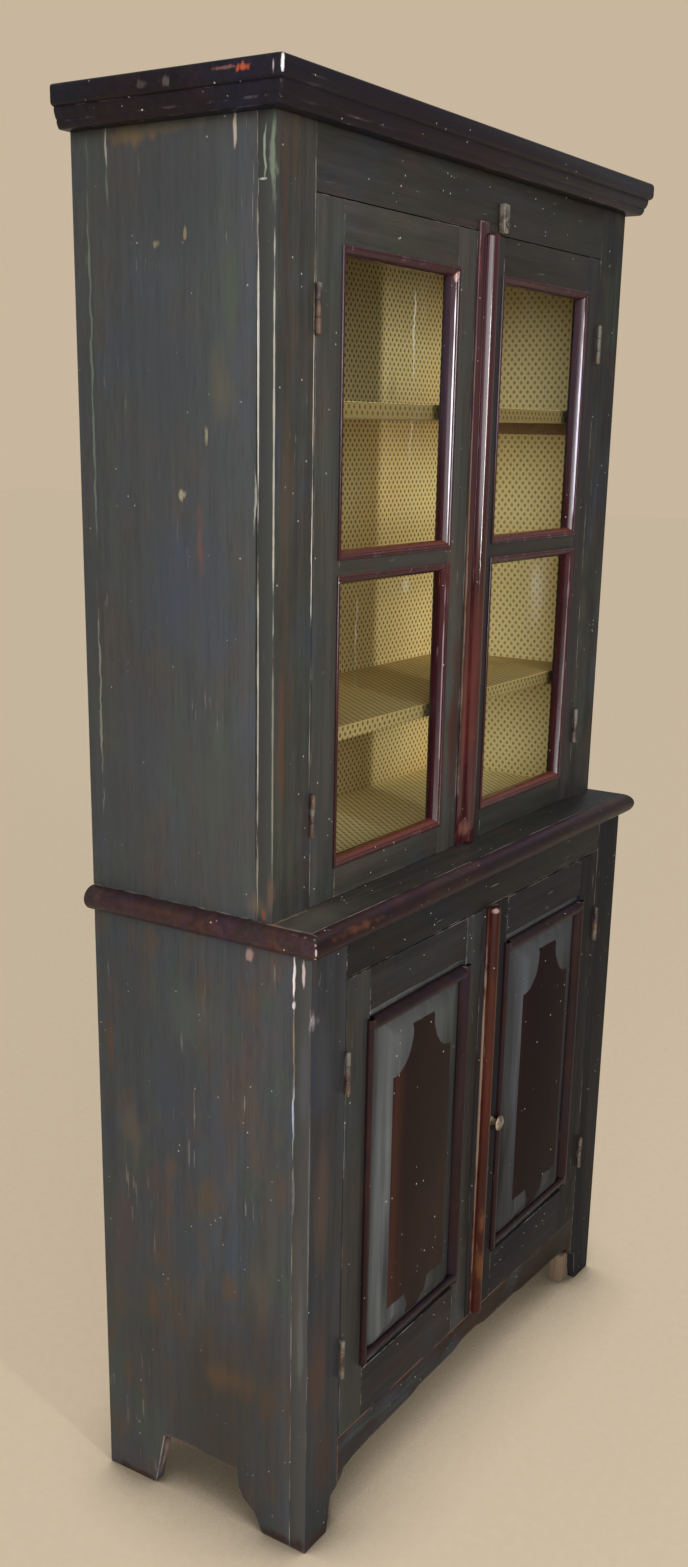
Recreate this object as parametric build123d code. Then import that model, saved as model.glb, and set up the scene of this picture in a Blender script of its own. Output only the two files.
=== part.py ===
from build123d import *
import os

os.makedirs("parts", exist_ok=True)

# Overall sizes. X runs right, the front faces -Y, Z is up, and the floor is at zero.
overall_height = 2134.0
case_width = 1067.0
lower_depth = 405.0
upper_depth = 336.0
lower_case_height = 1000.0
waist_thickness = 38.0
waist_overhang = 22.5
cornice_height = 53.0
cornice_projection = 36.0

# Boards.
board_thickness = 22.0
back_thickness = 12.0
lower_frame_thickness = 29.0
upper_frame_thickness = 26.0
stile_width = 90.5
top_board_thickness = 18.0
floor_board_thickness = 13.0
shelf_thickness = 21.0
base_board_thickness = 19.0
shelf_front_setback = 36.0
lower_shelf_setback = 60.0
lower_shelf_share = 0.4714
low_shelf_share = 0.1981
high_shelf_share = 0.6338
cleat_width = 12.0
cleat_height = 20.0
paper_thickness = 0.6
back_foot_clearance = 102.0
glue_block_width = 30.0
glue_block_height = 110.0
glue_block_lift = 2.0
foot_block_reach = 98.0
foot_block_depth = 28.0
foot_block_setback = 15.0

# Door openings.
lower_opening_bottom = 160.0
lower_top_rail_height = 56.0
upper_top_rail_height = 81.0
hinge_side_gap = 2.0
meeting_gap = 2.0
door_end_gap = 1.5
door_proud = 0.5
door_thickness = 25.0
upper_meeting_x = -11.0
lower_meeting_x = -24.0

# Glazed doors: the wood that shows outside the mouldings of the lights.
upper_left_outer_stile = 60.0
upper_left_meeting_stile = 49.0
upper_right_meeting_stile = 85.0
upper_right_outer_stile = 46.0
upper_door_top_rail = 55.5
upper_door_middle_rail = 21.0
upper_door_bottom_rail = 45.5
middle_rail_share = 0.5037
glazing_overlap = 5.0
glass_recess = 18.0
glass_thickness = 3.0
glazing_profile = [(0.0, 0.0), (0.0, 2.0), (1.5, 3.5), (5.0, 3.5), (6.0, 1.5), (7.5, 1.0), (9.5, -1.0),
                   (12.0, -5.0)]
glazing_width = 13.0

# Panelled doors: the wood that shows outside the panel moulding.
lower_left_outer_stile = 57.0
lower_left_meeting_stile = 43.0
lower_right_meeting_stile = 84.0
lower_right_outer_stile = 62.0
lower_door_top_rail = 61.5
lower_door_bottom_rail = 81.5
panel_overlap = 8.0
panel_profile = [(0.0, 0.0), (0.0, 4.5), (1.5, 6.5), (4.0, 8.0), (9.0, 8.0), (13.0, 6.0), (16.5, 2.5),
                 (19.0, -2.0)]
panel_moulding_width = 20.0
panel_edge_recess = 6.0
panel_field_proud = 10.0
panel_bevel_width = 50.0
panel_tongue_depth = 8.0
panel_tongue_thickness = 7.0

# Astragals on the right doors.
astragal_strip_thickness = 4.0
upper_strip_offset = 3.0
upper_strip_width = 56.0
upper_strip_step = 30.0
upper_strip_rise = 15.0
upper_bead_offset = 38.0
upper_bead_radius = 13.0
lower_strip_offset = 14.0
lower_strip_width = 34.0
lower_bead_offset = 32.5
lower_bead_radius = 11.5

# Butt hinges, with the knuckle proud of the face.
knuckle_radius = 4.2
knuckle_offset = 5.0
pin_radius = 1.8
pin_clearance = 0.05
pin_overrun = 1.0
leaf_thickness = 2.0
leaf_split = 0.4
leaf_depth = 20.0
knuckle_gap = 0.5
upper_hinge_height = 63.0
lower_hinge_height = 67.0
upper_hinge_inset = 139.0
lower_hinge_inset = 146.0

# Turn button on the upper top rail.
button_offset = 74.0
button_width = 22.0
button_short_end = 12.5
button_long_end = 30.0
button_thickness = 12.0
button_rise = 14.0
button_standoff = 1.0
button_chamfer = 2.5
button_screw_radius = 2.5
button_screw_clearance = 0.05
button_screw_head_radius = 5.0
button_screw_head_height = 2.0
button_screw_depth = 14.0
screw_hole_allowance = 0.3

# Knob and latch on the lower right door.
knob_offset = 68.5
knob_share = 0.4718
rose_radius = 8.5
rose_thickness = 3.0
knob_gap = 0.3
knob_projection = 21.5
knob_neck_radius = 6.0
knob_face_radius = 14.0
knob_face_thickness = 6.5
knob_edge = 1.5
spindle_radius = 4.0
spindle_clearance = 0.05
spindle_seat_depth = 9.0
cam_length = 92.0
cam_width = 16.0
cam_thickness = 3.0
cam_gap = 1.5

# Bracket feet. Each pair is a distance along the board and a height above the floor.
stile_foot_profile = [(60.5, 0.0), (67.5, 27.0), (68.5, 44.0), (72.0, 62.0), (90.5, 71.0)]
apron_profile = [(0.0, 71.0), (13.0, 80.0), (20.4, 91.5), (53.0, 97.7), (99.0, 100.7), (233.0, 104.0),
                 (262.0, 109.5)]
apron_arch_profile = [(60.0, 110.5), (41.0, 115.0), (25.0, 118.5)]
back_foot_profile = [(100.0, 0.0), (111.0, 52.0), (120.0, 98.0), (132.0, 103.0)]
front_foot_profile = [(53.0, 0.0), (60.0, 8.0), (71.0, 33.5), (94.0, 51.0), (103.0, 69.0), (107.0, 102.0)]

cornice_profile = [(21.0, 0.0), (23.5, 3.5), (25.2, 8.0), (27.2, 13.0), (28.8, 18.0), (30.4, 22.5),
                   (33.0, 26.0), (35.2, 28.5), (36.0, 31.0)]

# Levels and planes that follow from the sizes above.
half_width = case_width / 2
opening_half = half_width - stile_width
y_back = (lower_depth + waist_overhang) / 2
y_lower_front = y_back - lower_depth
y_upper_front = y_back - upper_depth
y_lower_board = y_lower_front + lower_frame_thickness
y_upper_board = y_upper_front + upper_frame_thickness
y_back_board = y_back - back_thickness
inner_half = half_width - board_thickness
waist_top = lower_case_height + waist_thickness
cornice_bottom = overall_height - cornice_height
upper_opening_top = cornice_bottom - upper_top_rail_height
lower_opening_top = lower_case_height - lower_top_rail_height
top_board_bottom = overall_height - top_board_thickness
floor_top = waist_top + floor_board_thickness
y_shelf_front = y_upper_front + shelf_front_setback
y_lower_shelf_front = y_lower_front + lower_shelf_setback
hinge_x = opening_half - hinge_side_gap / 2
door_outer = opening_half - hinge_side_gap
y_upper_door = y_upper_front - door_proud
y_lower_door = y_lower_front - door_proud
upper_door_bottom = waist_top + door_end_gap
upper_door_top = upper_opening_top - door_end_gap
lower_door_bottom = lower_opening_bottom + door_end_gap
lower_door_top = lower_opening_top - door_end_gap
half_meeting = meeting_gap / 2
upper_bay_height = top_board_bottom - floor_top
low_shelf_level = floor_top + low_shelf_share * upper_bay_height
high_shelf_level = floor_top + high_shelf_share * upper_bay_height
lower_shelf_level = lower_opening_bottom + lower_shelf_share * (lower_case_height - lower_opening_bottom)
middle_rail_level = upper_door_bottom + middle_rail_share * (upper_door_top - upper_door_bottom)
top_light_top = upper_door_top - upper_door_top_rail
top_light_bottom = middle_rail_level + upper_door_middle_rail / 2
bottom_light_top = middle_rail_level - upper_door_middle_rail / 2
bottom_light_bottom = upper_door_bottom + upper_door_bottom_rail
panel_top = lower_door_top - lower_door_top_rail
panel_bottom = lower_door_bottom + lower_door_bottom_rail
upper_strip_left = upper_meeting_x + upper_strip_offset
lower_strip_left = lower_meeting_x + lower_strip_offset
button_x = upper_meeting_x + button_offset
button_level = upper_opening_top + button_rise
knob_x = lower_meeting_x + knob_offset
knob_level = lower_door_bottom + knob_share * (lower_door_top - lower_door_bottom)


def block(x0, x1, y0, y1, z0, z1):
    """A box between the given planes."""
    size = Box(x1 - x0, y1 - y0, z1 - z0, align=(Align.MIN, Align.MIN, Align.MIN))
    return Pos(x0, y0, z0) * size


def prism(points, direction):
    """The solid swept by a closed flat outline along a vector."""
    return Solid.extrude(Face(Wire.make_polygon(points)), Vector(*direction))


def rod(x, y, z0, z1, radius):
    """An upright round bar."""
    return Pos(x, y, z0) * Cylinder(radius, z1 - z0, align=(Align.CENTER, Align.CENTER, Align.MIN))


def cross_rod(x, y0, y1, z, radius):
    """A round bar that runs from front to back."""
    bar = Cylinder(radius, y1 - y0, align=(Align.CENTER, Align.CENTER, Align.MIN))
    return Pos(x, y0, z) * Rot(-90, 0, 0) * bar


def save(name, shapes):
    """Writes one subcomponent."""
    solids = shapes if isinstance(shapes, list) else [shapes]
    found = [solid for shape in solids for solid in shape.solids()]
    export_step(Compound(children=found) if len(found) > 1 else found[0], f"parts/{name}.step")


def edge_run(profile, width, base, y_front, projection, name):
    """Mitred moulding round the front and both sides of a case."""
    y_edge = y_front - projection
    out = half_width + projection
    front = prism(
        [(-out, y_front - d, base + z) for d, z in profile],
        (out + out, 0, 0),
    )
    left = prism(
        [(-half_width - d, y_edge, base + z) for d, z in profile],
        (0, y_back - y_edge, 0),
    )
    tall = (0, 0, width)
    front_region = prism(
        [(-out, y_edge, base), (out, y_edge, base),
         (half_width, y_front, base), (-half_width, y_front, base)],
        tall,
    )
    left_region = prism(
        [(-out, y_edge, base), (-half_width, y_front, base),
         (-half_width, y_back, base), (-out, y_back, base)],
        tall,
    )
    side = left & left_region
    save(f"{name}_front", front & front_region)
    save(f"{name}_left", side)
    save(f"{name}_right", mirror(side, Plane.YZ))


def moulded_frame(x0, x1, z0, z1, y_face, section, width):
    """Four mitred bars round a rectangle, seen from the front."""
    reach = width + width
    bars = []
    trapezia = [
        [(x0, z0), (x1, z0), (x1 - width, z0 + width), (x0 + width, z0 + width)],
        [(x0, z1), (x1, z1), (x1 - width, z1 - width), (x0 + width, z1 - width)],
        [(x0, z0), (x0, z1), (x0 + width, z1 - width), (x0 + width, z0 + width)],
        [(x1, z0), (x1, z1), (x1 - width, z1 - width), (x1 - width, z0 + width)],
    ]
    outlines = [
        ([(x0, y_face - h, z0 + u) for u, h in section], (x1 - x0, 0, 0)),
        ([(x0, y_face - h, z1 - u) for u, h in section], (x1 - x0, 0, 0)),
        ([(x0 + u, y_face - h, z0) for u, h in section], (0, 0, z1 - z0)),
        ([(x1 - u, y_face - h, z0) for u, h in section], (0, 0, z1 - z0)),
    ]
    for trapezium, (outline, direction) in zip(trapezia, outlines):
        region = prism([(x, y_face - reach, z) for x, z in trapezium], (0, reach + reach, 0))
        bars.append(prism(outline, direction) & region)
    return bars


def hinge(side, y_face, level, height):
    """One butt hinge: the case half, the door half, the pin and the two pockets."""
    pin_x = side * hinge_x
    pin_y = y_face - knuckle_offset
    low = level - height / 2
    high = level + height / 2
    step = height / 3
    half_split = leaf_split / 2
    near = pin_x + side * half_split
    far = near + side * leaf_thickness
    case_x = sorted((near, far))
    door_x = sorted((pin_x - side * half_split, pin_x - side * (half_split + leaf_thickness)))
    y_plate = y_face - door_proud
    case_leaf = block(*case_x, y_plate, y_plate + leaf_depth, low, high)
    door_leaf = block(*door_x, y_plate, y_plate + leaf_depth, low, high)
    hole = rod(pin_x, pin_y, low - height, high + height, pin_radius + pin_clearance)
    case_half = case_leaf
    for z0, z1 in ((low, low + step - knuckle_gap), (high - step + knuckle_gap, high)):
        case_half = case_half + block(*case_x, pin_y, y_plate, z0, z1)
        case_half = case_half + rod(pin_x, pin_y, z0, z1, knuckle_radius)
    door_half = door_leaf + block(*door_x, pin_y, y_plate, low + step, high - step)
    door_half = door_half + rod(pin_x, pin_y, low + step, high - step, knuckle_radius)
    pin = rod(pin_x, pin_y, low - pin_overrun, high + pin_overrun, pin_radius)
    return case_half - hole, door_half - hole, pin, case_leaf, door_leaf


case_halves = []
pins = []
pockets = []
door_halves = {}
door_pockets = {}
for row, y_face, low_end, high_end, inset, height in (
    ("upper", y_upper_front, upper_door_bottom, upper_door_top, upper_hinge_inset, upper_hinge_height),
    ("lower", y_lower_front, lower_door_bottom, lower_door_top, lower_hinge_inset, lower_hinge_height),
):
    for word, side in (("left", -1), ("right", 1)):
        key = f"{row}_{word}"
        sets = [hinge(side, y_face, level, height) for level in (low_end + inset, high_end - inset)]
        case_halves += [part[0] for part in sets]
        door_halves[key] = [part[1] for part in sets]
        pins += [part[2] for part in sets]
        pockets += [part[3] for part in sets]
        door_pockets[key] = [part[4] for part in sets]

save("case_hinge_leaves", case_halves)
save("hinge_pins", pins)


def without(shape, tools):
    """A shape with pockets cut in it."""
    for tool in tools:
        shape = shape - tool
    return shape


# Lower case.
foot_outline = [(y_back, 0)]
foot_outline += [(y_back - d, z) for d, z in back_foot_profile]
foot_outline += [(y_lower_board + d, z) for d, z in reversed(front_foot_profile)]
foot_outline += [(y_lower_board, 0), (y_lower_board, lower_case_height), (y_back, lower_case_height)]
lower_side = prism([(-half_width, y, z) for y, z in foot_outline], (board_thickness, 0, 0))
save("lower_side_left", lower_side)
save("lower_side_right", mirror(lower_side, Plane.YZ))
save("lower_back", block(-inner_half, inner_half, y_back_board, y_back,
                         back_foot_clearance, lower_case_height))
save("lower_bottom_board", block(-inner_half, inner_half, y_lower_board, y_back_board,
                                 lower_opening_bottom - base_board_thickness, lower_opening_bottom))
save("lower_shelf", block(-inner_half, inner_half, y_lower_shelf_front, y_back_board,
                          lower_shelf_level, lower_shelf_level + shelf_thickness))
stile_outline = [(-half_width, 0)]
stile_outline += [(d - half_width, z) for d, z in stile_foot_profile]
stile_outline += [(-opening_half, lower_case_height), (-half_width, lower_case_height)]
lower_stile = prism([(x, y_lower_front, z) for x, z in stile_outline], (0, lower_frame_thickness, 0))
save("lower_stile_left", without(lower_stile, pockets))
save("lower_stile_right", without(mirror(lower_stile, Plane.YZ), pockets))
save("lower_top_rail", block(-opening_half, opening_half, y_lower_front, y_lower_board,
                             lower_opening_top, lower_case_height))
apron_left = [(d - opening_half, z) for d, z in apron_profile]
apron_left += [(-d, z) for d, z in apron_arch_profile]
apron_outline = apron_left + [(-x, z) for x, z in reversed(apron_left)]
apron_outline += [(opening_half, lower_opening_bottom), (-opening_half, lower_opening_bottom)]
save("lower_apron", prism([(x, y_lower_front, z) for x, z in apron_outline], (0, lower_frame_thickness, 0)))
glue_block = block(glue_block_width - inner_half - glue_block_width, glue_block_width - inner_half,
                   y_lower_board, y_lower_board + glue_block_width,
                   glue_block_lift, glue_block_lift + glue_block_height)
y_foot_block = y_lower_front + foot_block_setback
foot_share = glue_block_lift / stile_foot_profile[1][1]
foot_start = stile_foot_profile[0][0] + foot_share * (stile_foot_profile[1][0] - stile_foot_profile[0][0])
foot_block_outline = [(foot_start, glue_block_lift)] + stile_foot_profile[1:4]
foot_block_outline += [(foot_block_reach, stile_foot_profile[3][1]), (foot_block_reach, glue_block_lift)]
foot_block = prism([(d - half_width, y_foot_block, z) for d, z in foot_block_outline], (0, foot_block_depth, 0))
save("lower_glue_blocks", [glue_block, mirror(glue_block, Plane.YZ), foot_block, mirror(foot_block, Plane.YZ)])

# Waist board with a rounded edge.
save("waist_board", block(-half_width, half_width, y_lower_front, y_back, lower_case_height, waist_top))
nosing_shares = [0.0, 0.30, 0.56, 0.78, 0.93, 1.0]
nosing_rise_shares = [1.0, 0.954, 0.828, 0.626, 0.368, 0.0]
nosing_half = waist_thickness / 2
nosing_profile = [(waist_overhang * a, nosing_half - nosing_half * b)
                  for a, b in zip(nosing_shares, nosing_rise_shares)]
nosing_profile += [(waist_overhang * a, nosing_half + nosing_half * b)
                   for a, b in reversed(list(zip(nosing_shares, nosing_rise_shares))[:-1])]
edge_run(nosing_profile, waist_thickness, lower_case_height, y_lower_front, waist_overhang, "waist_moulding")

# Upper case.
upper_side = block(-half_width, -inner_half, y_upper_board, y_back, waist_top, top_board_bottom)
save("upper_side_left", upper_side)
save("upper_side_right", mirror(upper_side, Plane.YZ))
save("upper_back", block(-inner_half, inner_half, y_back_board, y_back, waist_top, top_board_bottom))
save("upper_floor_board", block(-inner_half, inner_half, y_upper_board, y_back_board, waist_top, floor_top))
save("upper_top_board", block(-half_width, half_width, y_upper_front, y_back,
                              top_board_bottom, overall_height))
save("upper_shelves", [
    block(-inner_half, inner_half, y_shelf_front, y_back_board, level, level + shelf_thickness)
    for level in (low_shelf_level, high_shelf_level)
])
cleats = []
for level, y_front in (
    (lower_shelf_level, y_lower_shelf_front),
    (low_shelf_level, y_shelf_front),
    (high_shelf_level, y_shelf_front),
):
    cleat = block(-inner_half, cleat_width - inner_half, y_front, y_back_board - paper_thickness,
                  level - cleat_height, level)
    cleats += [cleat, mirror(cleat, Plane.YZ)]
save("shelf_cleats", cleats)
upper_stile = block(-half_width, -opening_half, y_upper_front, y_upper_board, waist_top, top_board_bottom)
save("upper_stile_left", without(upper_stile, pockets))
save("upper_stile_right", without(mirror(upper_stile, Plane.YZ), pockets))
rail = block(-opening_half, opening_half, y_upper_front, y_upper_board, upper_opening_top, top_board_bottom)
screw_hole = cross_rod(button_x, y_upper_front - board_thickness,
                       y_upper_front + button_screw_depth + screw_hole_allowance, button_level,
                       button_screw_radius + screw_hole_allowance)
save("upper_top_rail", rail - screw_hole)
cornice_outline = [(0, 0)]
cornice_outline += cornice_profile
cornice_outline += [(cornice_projection, cornice_height), (0, cornice_height)]
edge_run(cornice_outline, cornice_height, cornice_bottom, y_upper_front, cornice_projection, "cornice")

# Paper on the walls, the floor and the shelves of the upper case.
paper = []
bays = (
    (floor_top, low_shelf_level, low_shelf_level - cleat_height, y_upper_board),
    (low_shelf_level + shelf_thickness, high_shelf_level, high_shelf_level - cleat_height, y_shelf_front),
    (high_shelf_level + shelf_thickness, top_board_bottom, top_board_bottom, y_shelf_front),
)
for low, high, side_high, y_front in bays:
    y_sheet = y_back_board - paper_thickness
    paper.append(block(-inner_half, inner_half, y_sheet, y_back_board, low, high))
    wall = block(-inner_half, paper_thickness - inner_half, y_upper_board, y_sheet, low, side_high)
    paper += [wall, mirror(wall, Plane.YZ)]
    paper.append(block(paper_thickness - inner_half, inner_half - paper_thickness, y_front, y_sheet,
                       low, low + paper_thickness))
save("upper_paper_lining", paper)

# Glazed doors.
glazing_section = glazing_profile + [(glazing_width, -glass_recess), (glazing_overlap, -glass_recess),
                                     (glazing_overlap, 0)]
for word, stile_left, stile_right, x0, x1 in (
    ("left", upper_left_outer_stile, upper_left_meeting_stile,
     -door_outer, upper_meeting_x - half_meeting),
    ("right", upper_right_meeting_stile, upper_right_outer_stile,
     upper_meeting_x + half_meeting, door_outer),
):
    key = f"upper_{word}"
    left = x0 + stile_left
    right = x1 - stile_right
    y0 = y_upper_door
    y1 = y0 + door_thickness
    open_left = left + glazing_overlap
    open_right = right - glazing_overlap
    lights = (
        (bottom_light_bottom + glazing_overlap, bottom_light_top - glazing_overlap),
        (top_light_bottom + glazing_overlap, top_light_top - glazing_overlap),
    )
    stiles = [
        without(block(x0, open_left, y0, y1, upper_door_bottom, upper_door_top), door_pockets[key]),
        without(block(open_right, x1, y0, y1, upper_door_bottom, upper_door_top), door_pockets[key]),
    ]
    save(f"{key}_stiles", stiles)
    save(f"{key}_rails", [
        block(open_left, open_right, y0, y1, upper_door_bottom, lights[0][0]),
        block(open_left, open_right, y0, y1, lights[0][1], lights[1][0]),
        block(open_left, open_right, y0, y1, lights[1][1], upper_door_top),
    ])
    y_glass = y0 + glass_recess
    save(f"{key}_panes", [
        block(open_left, open_right, y_glass, y_glass + glass_thickness, z0, z1) for z0, z1 in lights
    ])
    mouldings = []
    for z0, z1 in ((bottom_light_bottom, bottom_light_top), (top_light_bottom, top_light_top)):
        mouldings += moulded_frame(left, right, z0, z1, y0, glazing_section, glazing_width)
    save(f"{key}_glazing_mouldings", mouldings)
    save(f"{key}_hinge_leaves", door_halves[key])

# Panelled doors.
panel_section = panel_profile + [(panel_moulding_width, -panel_edge_recess),
                                 (panel_overlap, -panel_edge_recess), (panel_overlap, 0)]
latch_hole = cross_rod(knob_x, y_lower_door - door_thickness, y_lower_door + door_thickness + door_thickness,
                       knob_level, spindle_radius + spindle_clearance)
for word, stile_left, stile_right, x0, x1 in (
    ("left", lower_left_outer_stile, lower_left_meeting_stile,
     -door_outer, lower_meeting_x - half_meeting),
    ("right", lower_right_meeting_stile, lower_right_outer_stile,
     lower_meeting_x + half_meeting, door_outer),
):
    key = f"lower_{word}"
    left = x0 + stile_left
    right = x1 - stile_right
    y0 = y_lower_door
    y1 = y0 + door_thickness
    open_left = left + panel_overlap
    open_right = right - panel_overlap
    open_bottom = panel_bottom + panel_overlap
    open_top = panel_top - panel_overlap
    y_edge = y0 + panel_edge_recess
    y_tongue = y_edge + panel_tongue_thickness
    tongue = block(open_left - panel_tongue_depth, open_right + panel_tongue_depth, y_edge, y_tongue,
                   open_bottom - panel_tongue_depth, open_top + panel_tongue_depth)
    tools = door_pockets[key] + [tongue, latch_hole]
    save(f"{key}_stiles", [
        without(block(x0, open_left, y0, y1, lower_door_bottom, lower_door_top), tools),
        without(block(open_right, x1, y0, y1, lower_door_bottom, lower_door_top), tools),
    ])
    save(f"{key}_rails", [
        without(block(open_left, open_right, y0, y1, lower_door_bottom, open_bottom), [tongue]),
        without(block(open_left, open_right, y0, y1, open_top, lower_door_top), [tongue]),
    ])
    inset = panel_moulding_width - panel_overlap
    base_left = open_left + inset
    base_right = open_right - inset
    base_bottom = open_bottom + inset
    base_top = open_top - inset
    raise_height = panel_edge_recess + panel_field_proud
    outer = [(base_left, y_edge, base_bottom), (base_right, y_edge, base_bottom),
             (base_right, y_edge, base_top), (base_left, y_edge, base_top)]
    y_field = y_edge - raise_height
    bevel = panel_bevel_width
    inner = [(base_left + bevel, y_field, base_bottom + bevel),
             (base_right - bevel, y_field, base_bottom + bevel),
             (base_right - bevel, y_field, base_top - bevel),
             (base_left + bevel, y_field, base_top - bevel)]
    raised = Solid.make_loft([Wire.make_polygon(outer), Wire.make_polygon(inner)], ruled=True)
    save(f"{key}_panel", tongue + raised)
    save(f"{key}_panel_moulding",
         moulded_frame(left, right, panel_bottom, panel_top, y0, panel_section, panel_moulding_width))
    save(f"{key}_hinge_leaves", door_halves[key])


def bead(x, y, z0, z1, radius):
    """A half-round bead whose flat lies on a plane."""
    return rod(x, y, z0, z1, radius) & block(x - radius, x + radius, y - radius, y, z0, z1)


# Astragals.
y_strip = y_upper_door - astragal_strip_thickness
strip_top = upper_door_top + upper_strip_rise
strip_outline = [
    (upper_strip_left, upper_door_bottom),
    (upper_strip_left + upper_strip_width, upper_door_bottom),
    (upper_strip_left + upper_strip_width, upper_door_top),
    (upper_strip_left + upper_strip_step, upper_door_top),
    (upper_strip_left + upper_strip_step, strip_top),
    (upper_strip_left, strip_top),
]
save("upper_right_astragal_strip",
     prism([(x, y_strip, z) for x, z in strip_outline], (0, astragal_strip_thickness, 0)))
save("upper_right_astragal_bead",
     bead(upper_meeting_x + upper_bead_offset, y_strip, upper_door_bottom, upper_door_top,
          upper_bead_radius))
y_strip = y_lower_door - astragal_strip_thickness
save("lower_right_astragal_strip",
     block(lower_strip_left, lower_strip_left + lower_strip_width, y_strip, y_lower_door,
           lower_door_bottom, lower_door_top))
save("lower_right_astragal_bead",
     bead(lower_meeting_x + lower_bead_offset, y_strip, lower_door_bottom, lower_door_top,
          lower_bead_radius))

# Turn button, stored with its short end down.
y_button_back = y_upper_door - button_standoff
y_button_front = y_button_back - button_thickness
half_button = button_width / 2
button_bottom = button_level - button_short_end
button_top = button_level + button_long_end
button_block = block(button_x - half_button, button_x + half_button, y_button_front, y_button_back,
                     button_bottom, button_top)
front_edges = button_block.faces().sort_by(Axis.Y)[0].edges()
button_block = chamfer(front_edges, button_chamfer)
button_bore = cross_rod(button_x, y_button_front - button_thickness, y_button_back + button_thickness,
                        button_level, button_screw_radius + button_screw_clearance)
save("turn_button", button_block - button_bore)
y_head = y_button_front - knob_gap
screw = cross_rod(button_x, y_head, y_upper_front + button_screw_depth, button_level, button_screw_radius)
screw = screw + cross_rod(button_x, y_head - button_screw_head_height, y_head, button_level,
                          button_screw_head_radius)
save("button_screw", screw)

# Knob, rose and latch cam.
y_rose = y_lower_door - rose_thickness
rose = cross_rod(knob_x, y_rose, y_lower_door, knob_level, rose_radius)
save("knob_rose", rose - latch_hole)
y_knob_back = y_rose - knob_gap
y_knob_front = y_lower_door - knob_projection
y_cap_back = y_knob_front + knob_face_thickness
neck = cross_rod(knob_x, y_cap_back, y_knob_back, knob_level, knob_neck_radius)
cap = cross_rod(knob_x, y_knob_front, y_cap_back, knob_level, knob_face_radius)
cap = chamfer(cap.edges().filter_by(GeomType.CIRCLE), knob_edge)
y_seat = y_knob_back - spindle_seat_depth
seat = cross_rod(knob_x, y_seat, y_knob_back + knob_gap, knob_level, spindle_radius + screw_hole_allowance)
save("knob", neck + cap - seat)
y_cam_front = y_lower_door + door_thickness + cam_gap
y_cam_back = y_cam_front + cam_thickness
half_cam = cam_width / 2
spindle = cross_rod(knob_x, y_seat, y_cam_back, knob_level, spindle_radius)
cam = cross_rod(knob_x, y_cam_front, y_cam_back, knob_level, half_cam)
cam = cam + block(knob_x - half_cam, knob_x + half_cam, y_cam_front, y_cam_back,
                  knob_level - cam_length, knob_level)
save("latch_cam", spindle + cam)
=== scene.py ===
"""Dresses the tall painted display cabinet: worn paint, maroon mouldings, papered shelves behind old glass."""

import logging
import math
from dataclasses import dataclass
from enum import Enum
from typing import Any, Callable, Mapping, Optional, Sequence, Union

import bpy
from mathutils import Matrix, Vector


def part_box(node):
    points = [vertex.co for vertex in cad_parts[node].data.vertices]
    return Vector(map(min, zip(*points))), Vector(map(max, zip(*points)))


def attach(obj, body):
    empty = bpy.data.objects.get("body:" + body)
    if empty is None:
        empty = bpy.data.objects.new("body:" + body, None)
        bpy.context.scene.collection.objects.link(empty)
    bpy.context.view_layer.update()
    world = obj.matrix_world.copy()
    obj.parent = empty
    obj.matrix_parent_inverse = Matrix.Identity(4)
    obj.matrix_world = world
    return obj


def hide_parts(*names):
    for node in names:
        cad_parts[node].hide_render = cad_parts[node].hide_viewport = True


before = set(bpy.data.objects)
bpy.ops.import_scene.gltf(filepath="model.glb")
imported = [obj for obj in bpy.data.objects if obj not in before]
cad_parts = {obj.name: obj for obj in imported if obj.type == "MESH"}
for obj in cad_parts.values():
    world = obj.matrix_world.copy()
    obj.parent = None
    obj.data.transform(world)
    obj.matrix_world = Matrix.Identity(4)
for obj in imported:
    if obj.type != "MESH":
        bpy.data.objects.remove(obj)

LOG = logging.getLogger("cabinet")
MM = 0.001
Point = tuple[float, float, float]
Pair = tuple[float, float]


# ---------------------------------------------------------------------------------------------------------------
# Mesh tools
# ---------------------------------------------------------------------------------------------------------------

class Part(Enum):
    """What an edit-mode selection is made of."""

    VERTS = (True, False, False)
    EDGES = (False, True, False)
    FACES = (False, False, True)


def clear_selection() -> None:
    """Leaves edit mode and deselects every object."""
    if bpy.context.object is not None and bpy.context.object.mode != "OBJECT":
        bpy.ops.object.mode_set(mode="OBJECT")
    bpy.ops.object.select_all(action="DESELECT")


def take_up(obj: bpy.types.Object) -> None:
    """Makes one object the only selected and the active one.

    Args:
        obj: The object that the next operators act on.
    """
    clear_selection()
    obj.hide_set(False)
    obj.select_set(True)
    bpy.context.view_layer.objects.active = obj


def open_whole(obj: bpy.types.Object) -> None:
    """Enters edit mode on one object with all its vertices selected.

    Args:
        obj: The object that is shaped next.
    """
    take_up(obj)
    bpy.context.tool_settings.mesh_select_mode = Part.VERTS.value
    bpy.ops.object.mode_set(mode="EDIT")
    bpy.ops.mesh.select_all(action="SELECT")


def mm(*values: float) -> Vector:
    """Turns a place or size in millimetres into a Vector in metres.

    Args:
        values: Three numbers in millimetres.

    Returns:
        The same in metres.
    """
    return Vector(values) * MM


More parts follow.
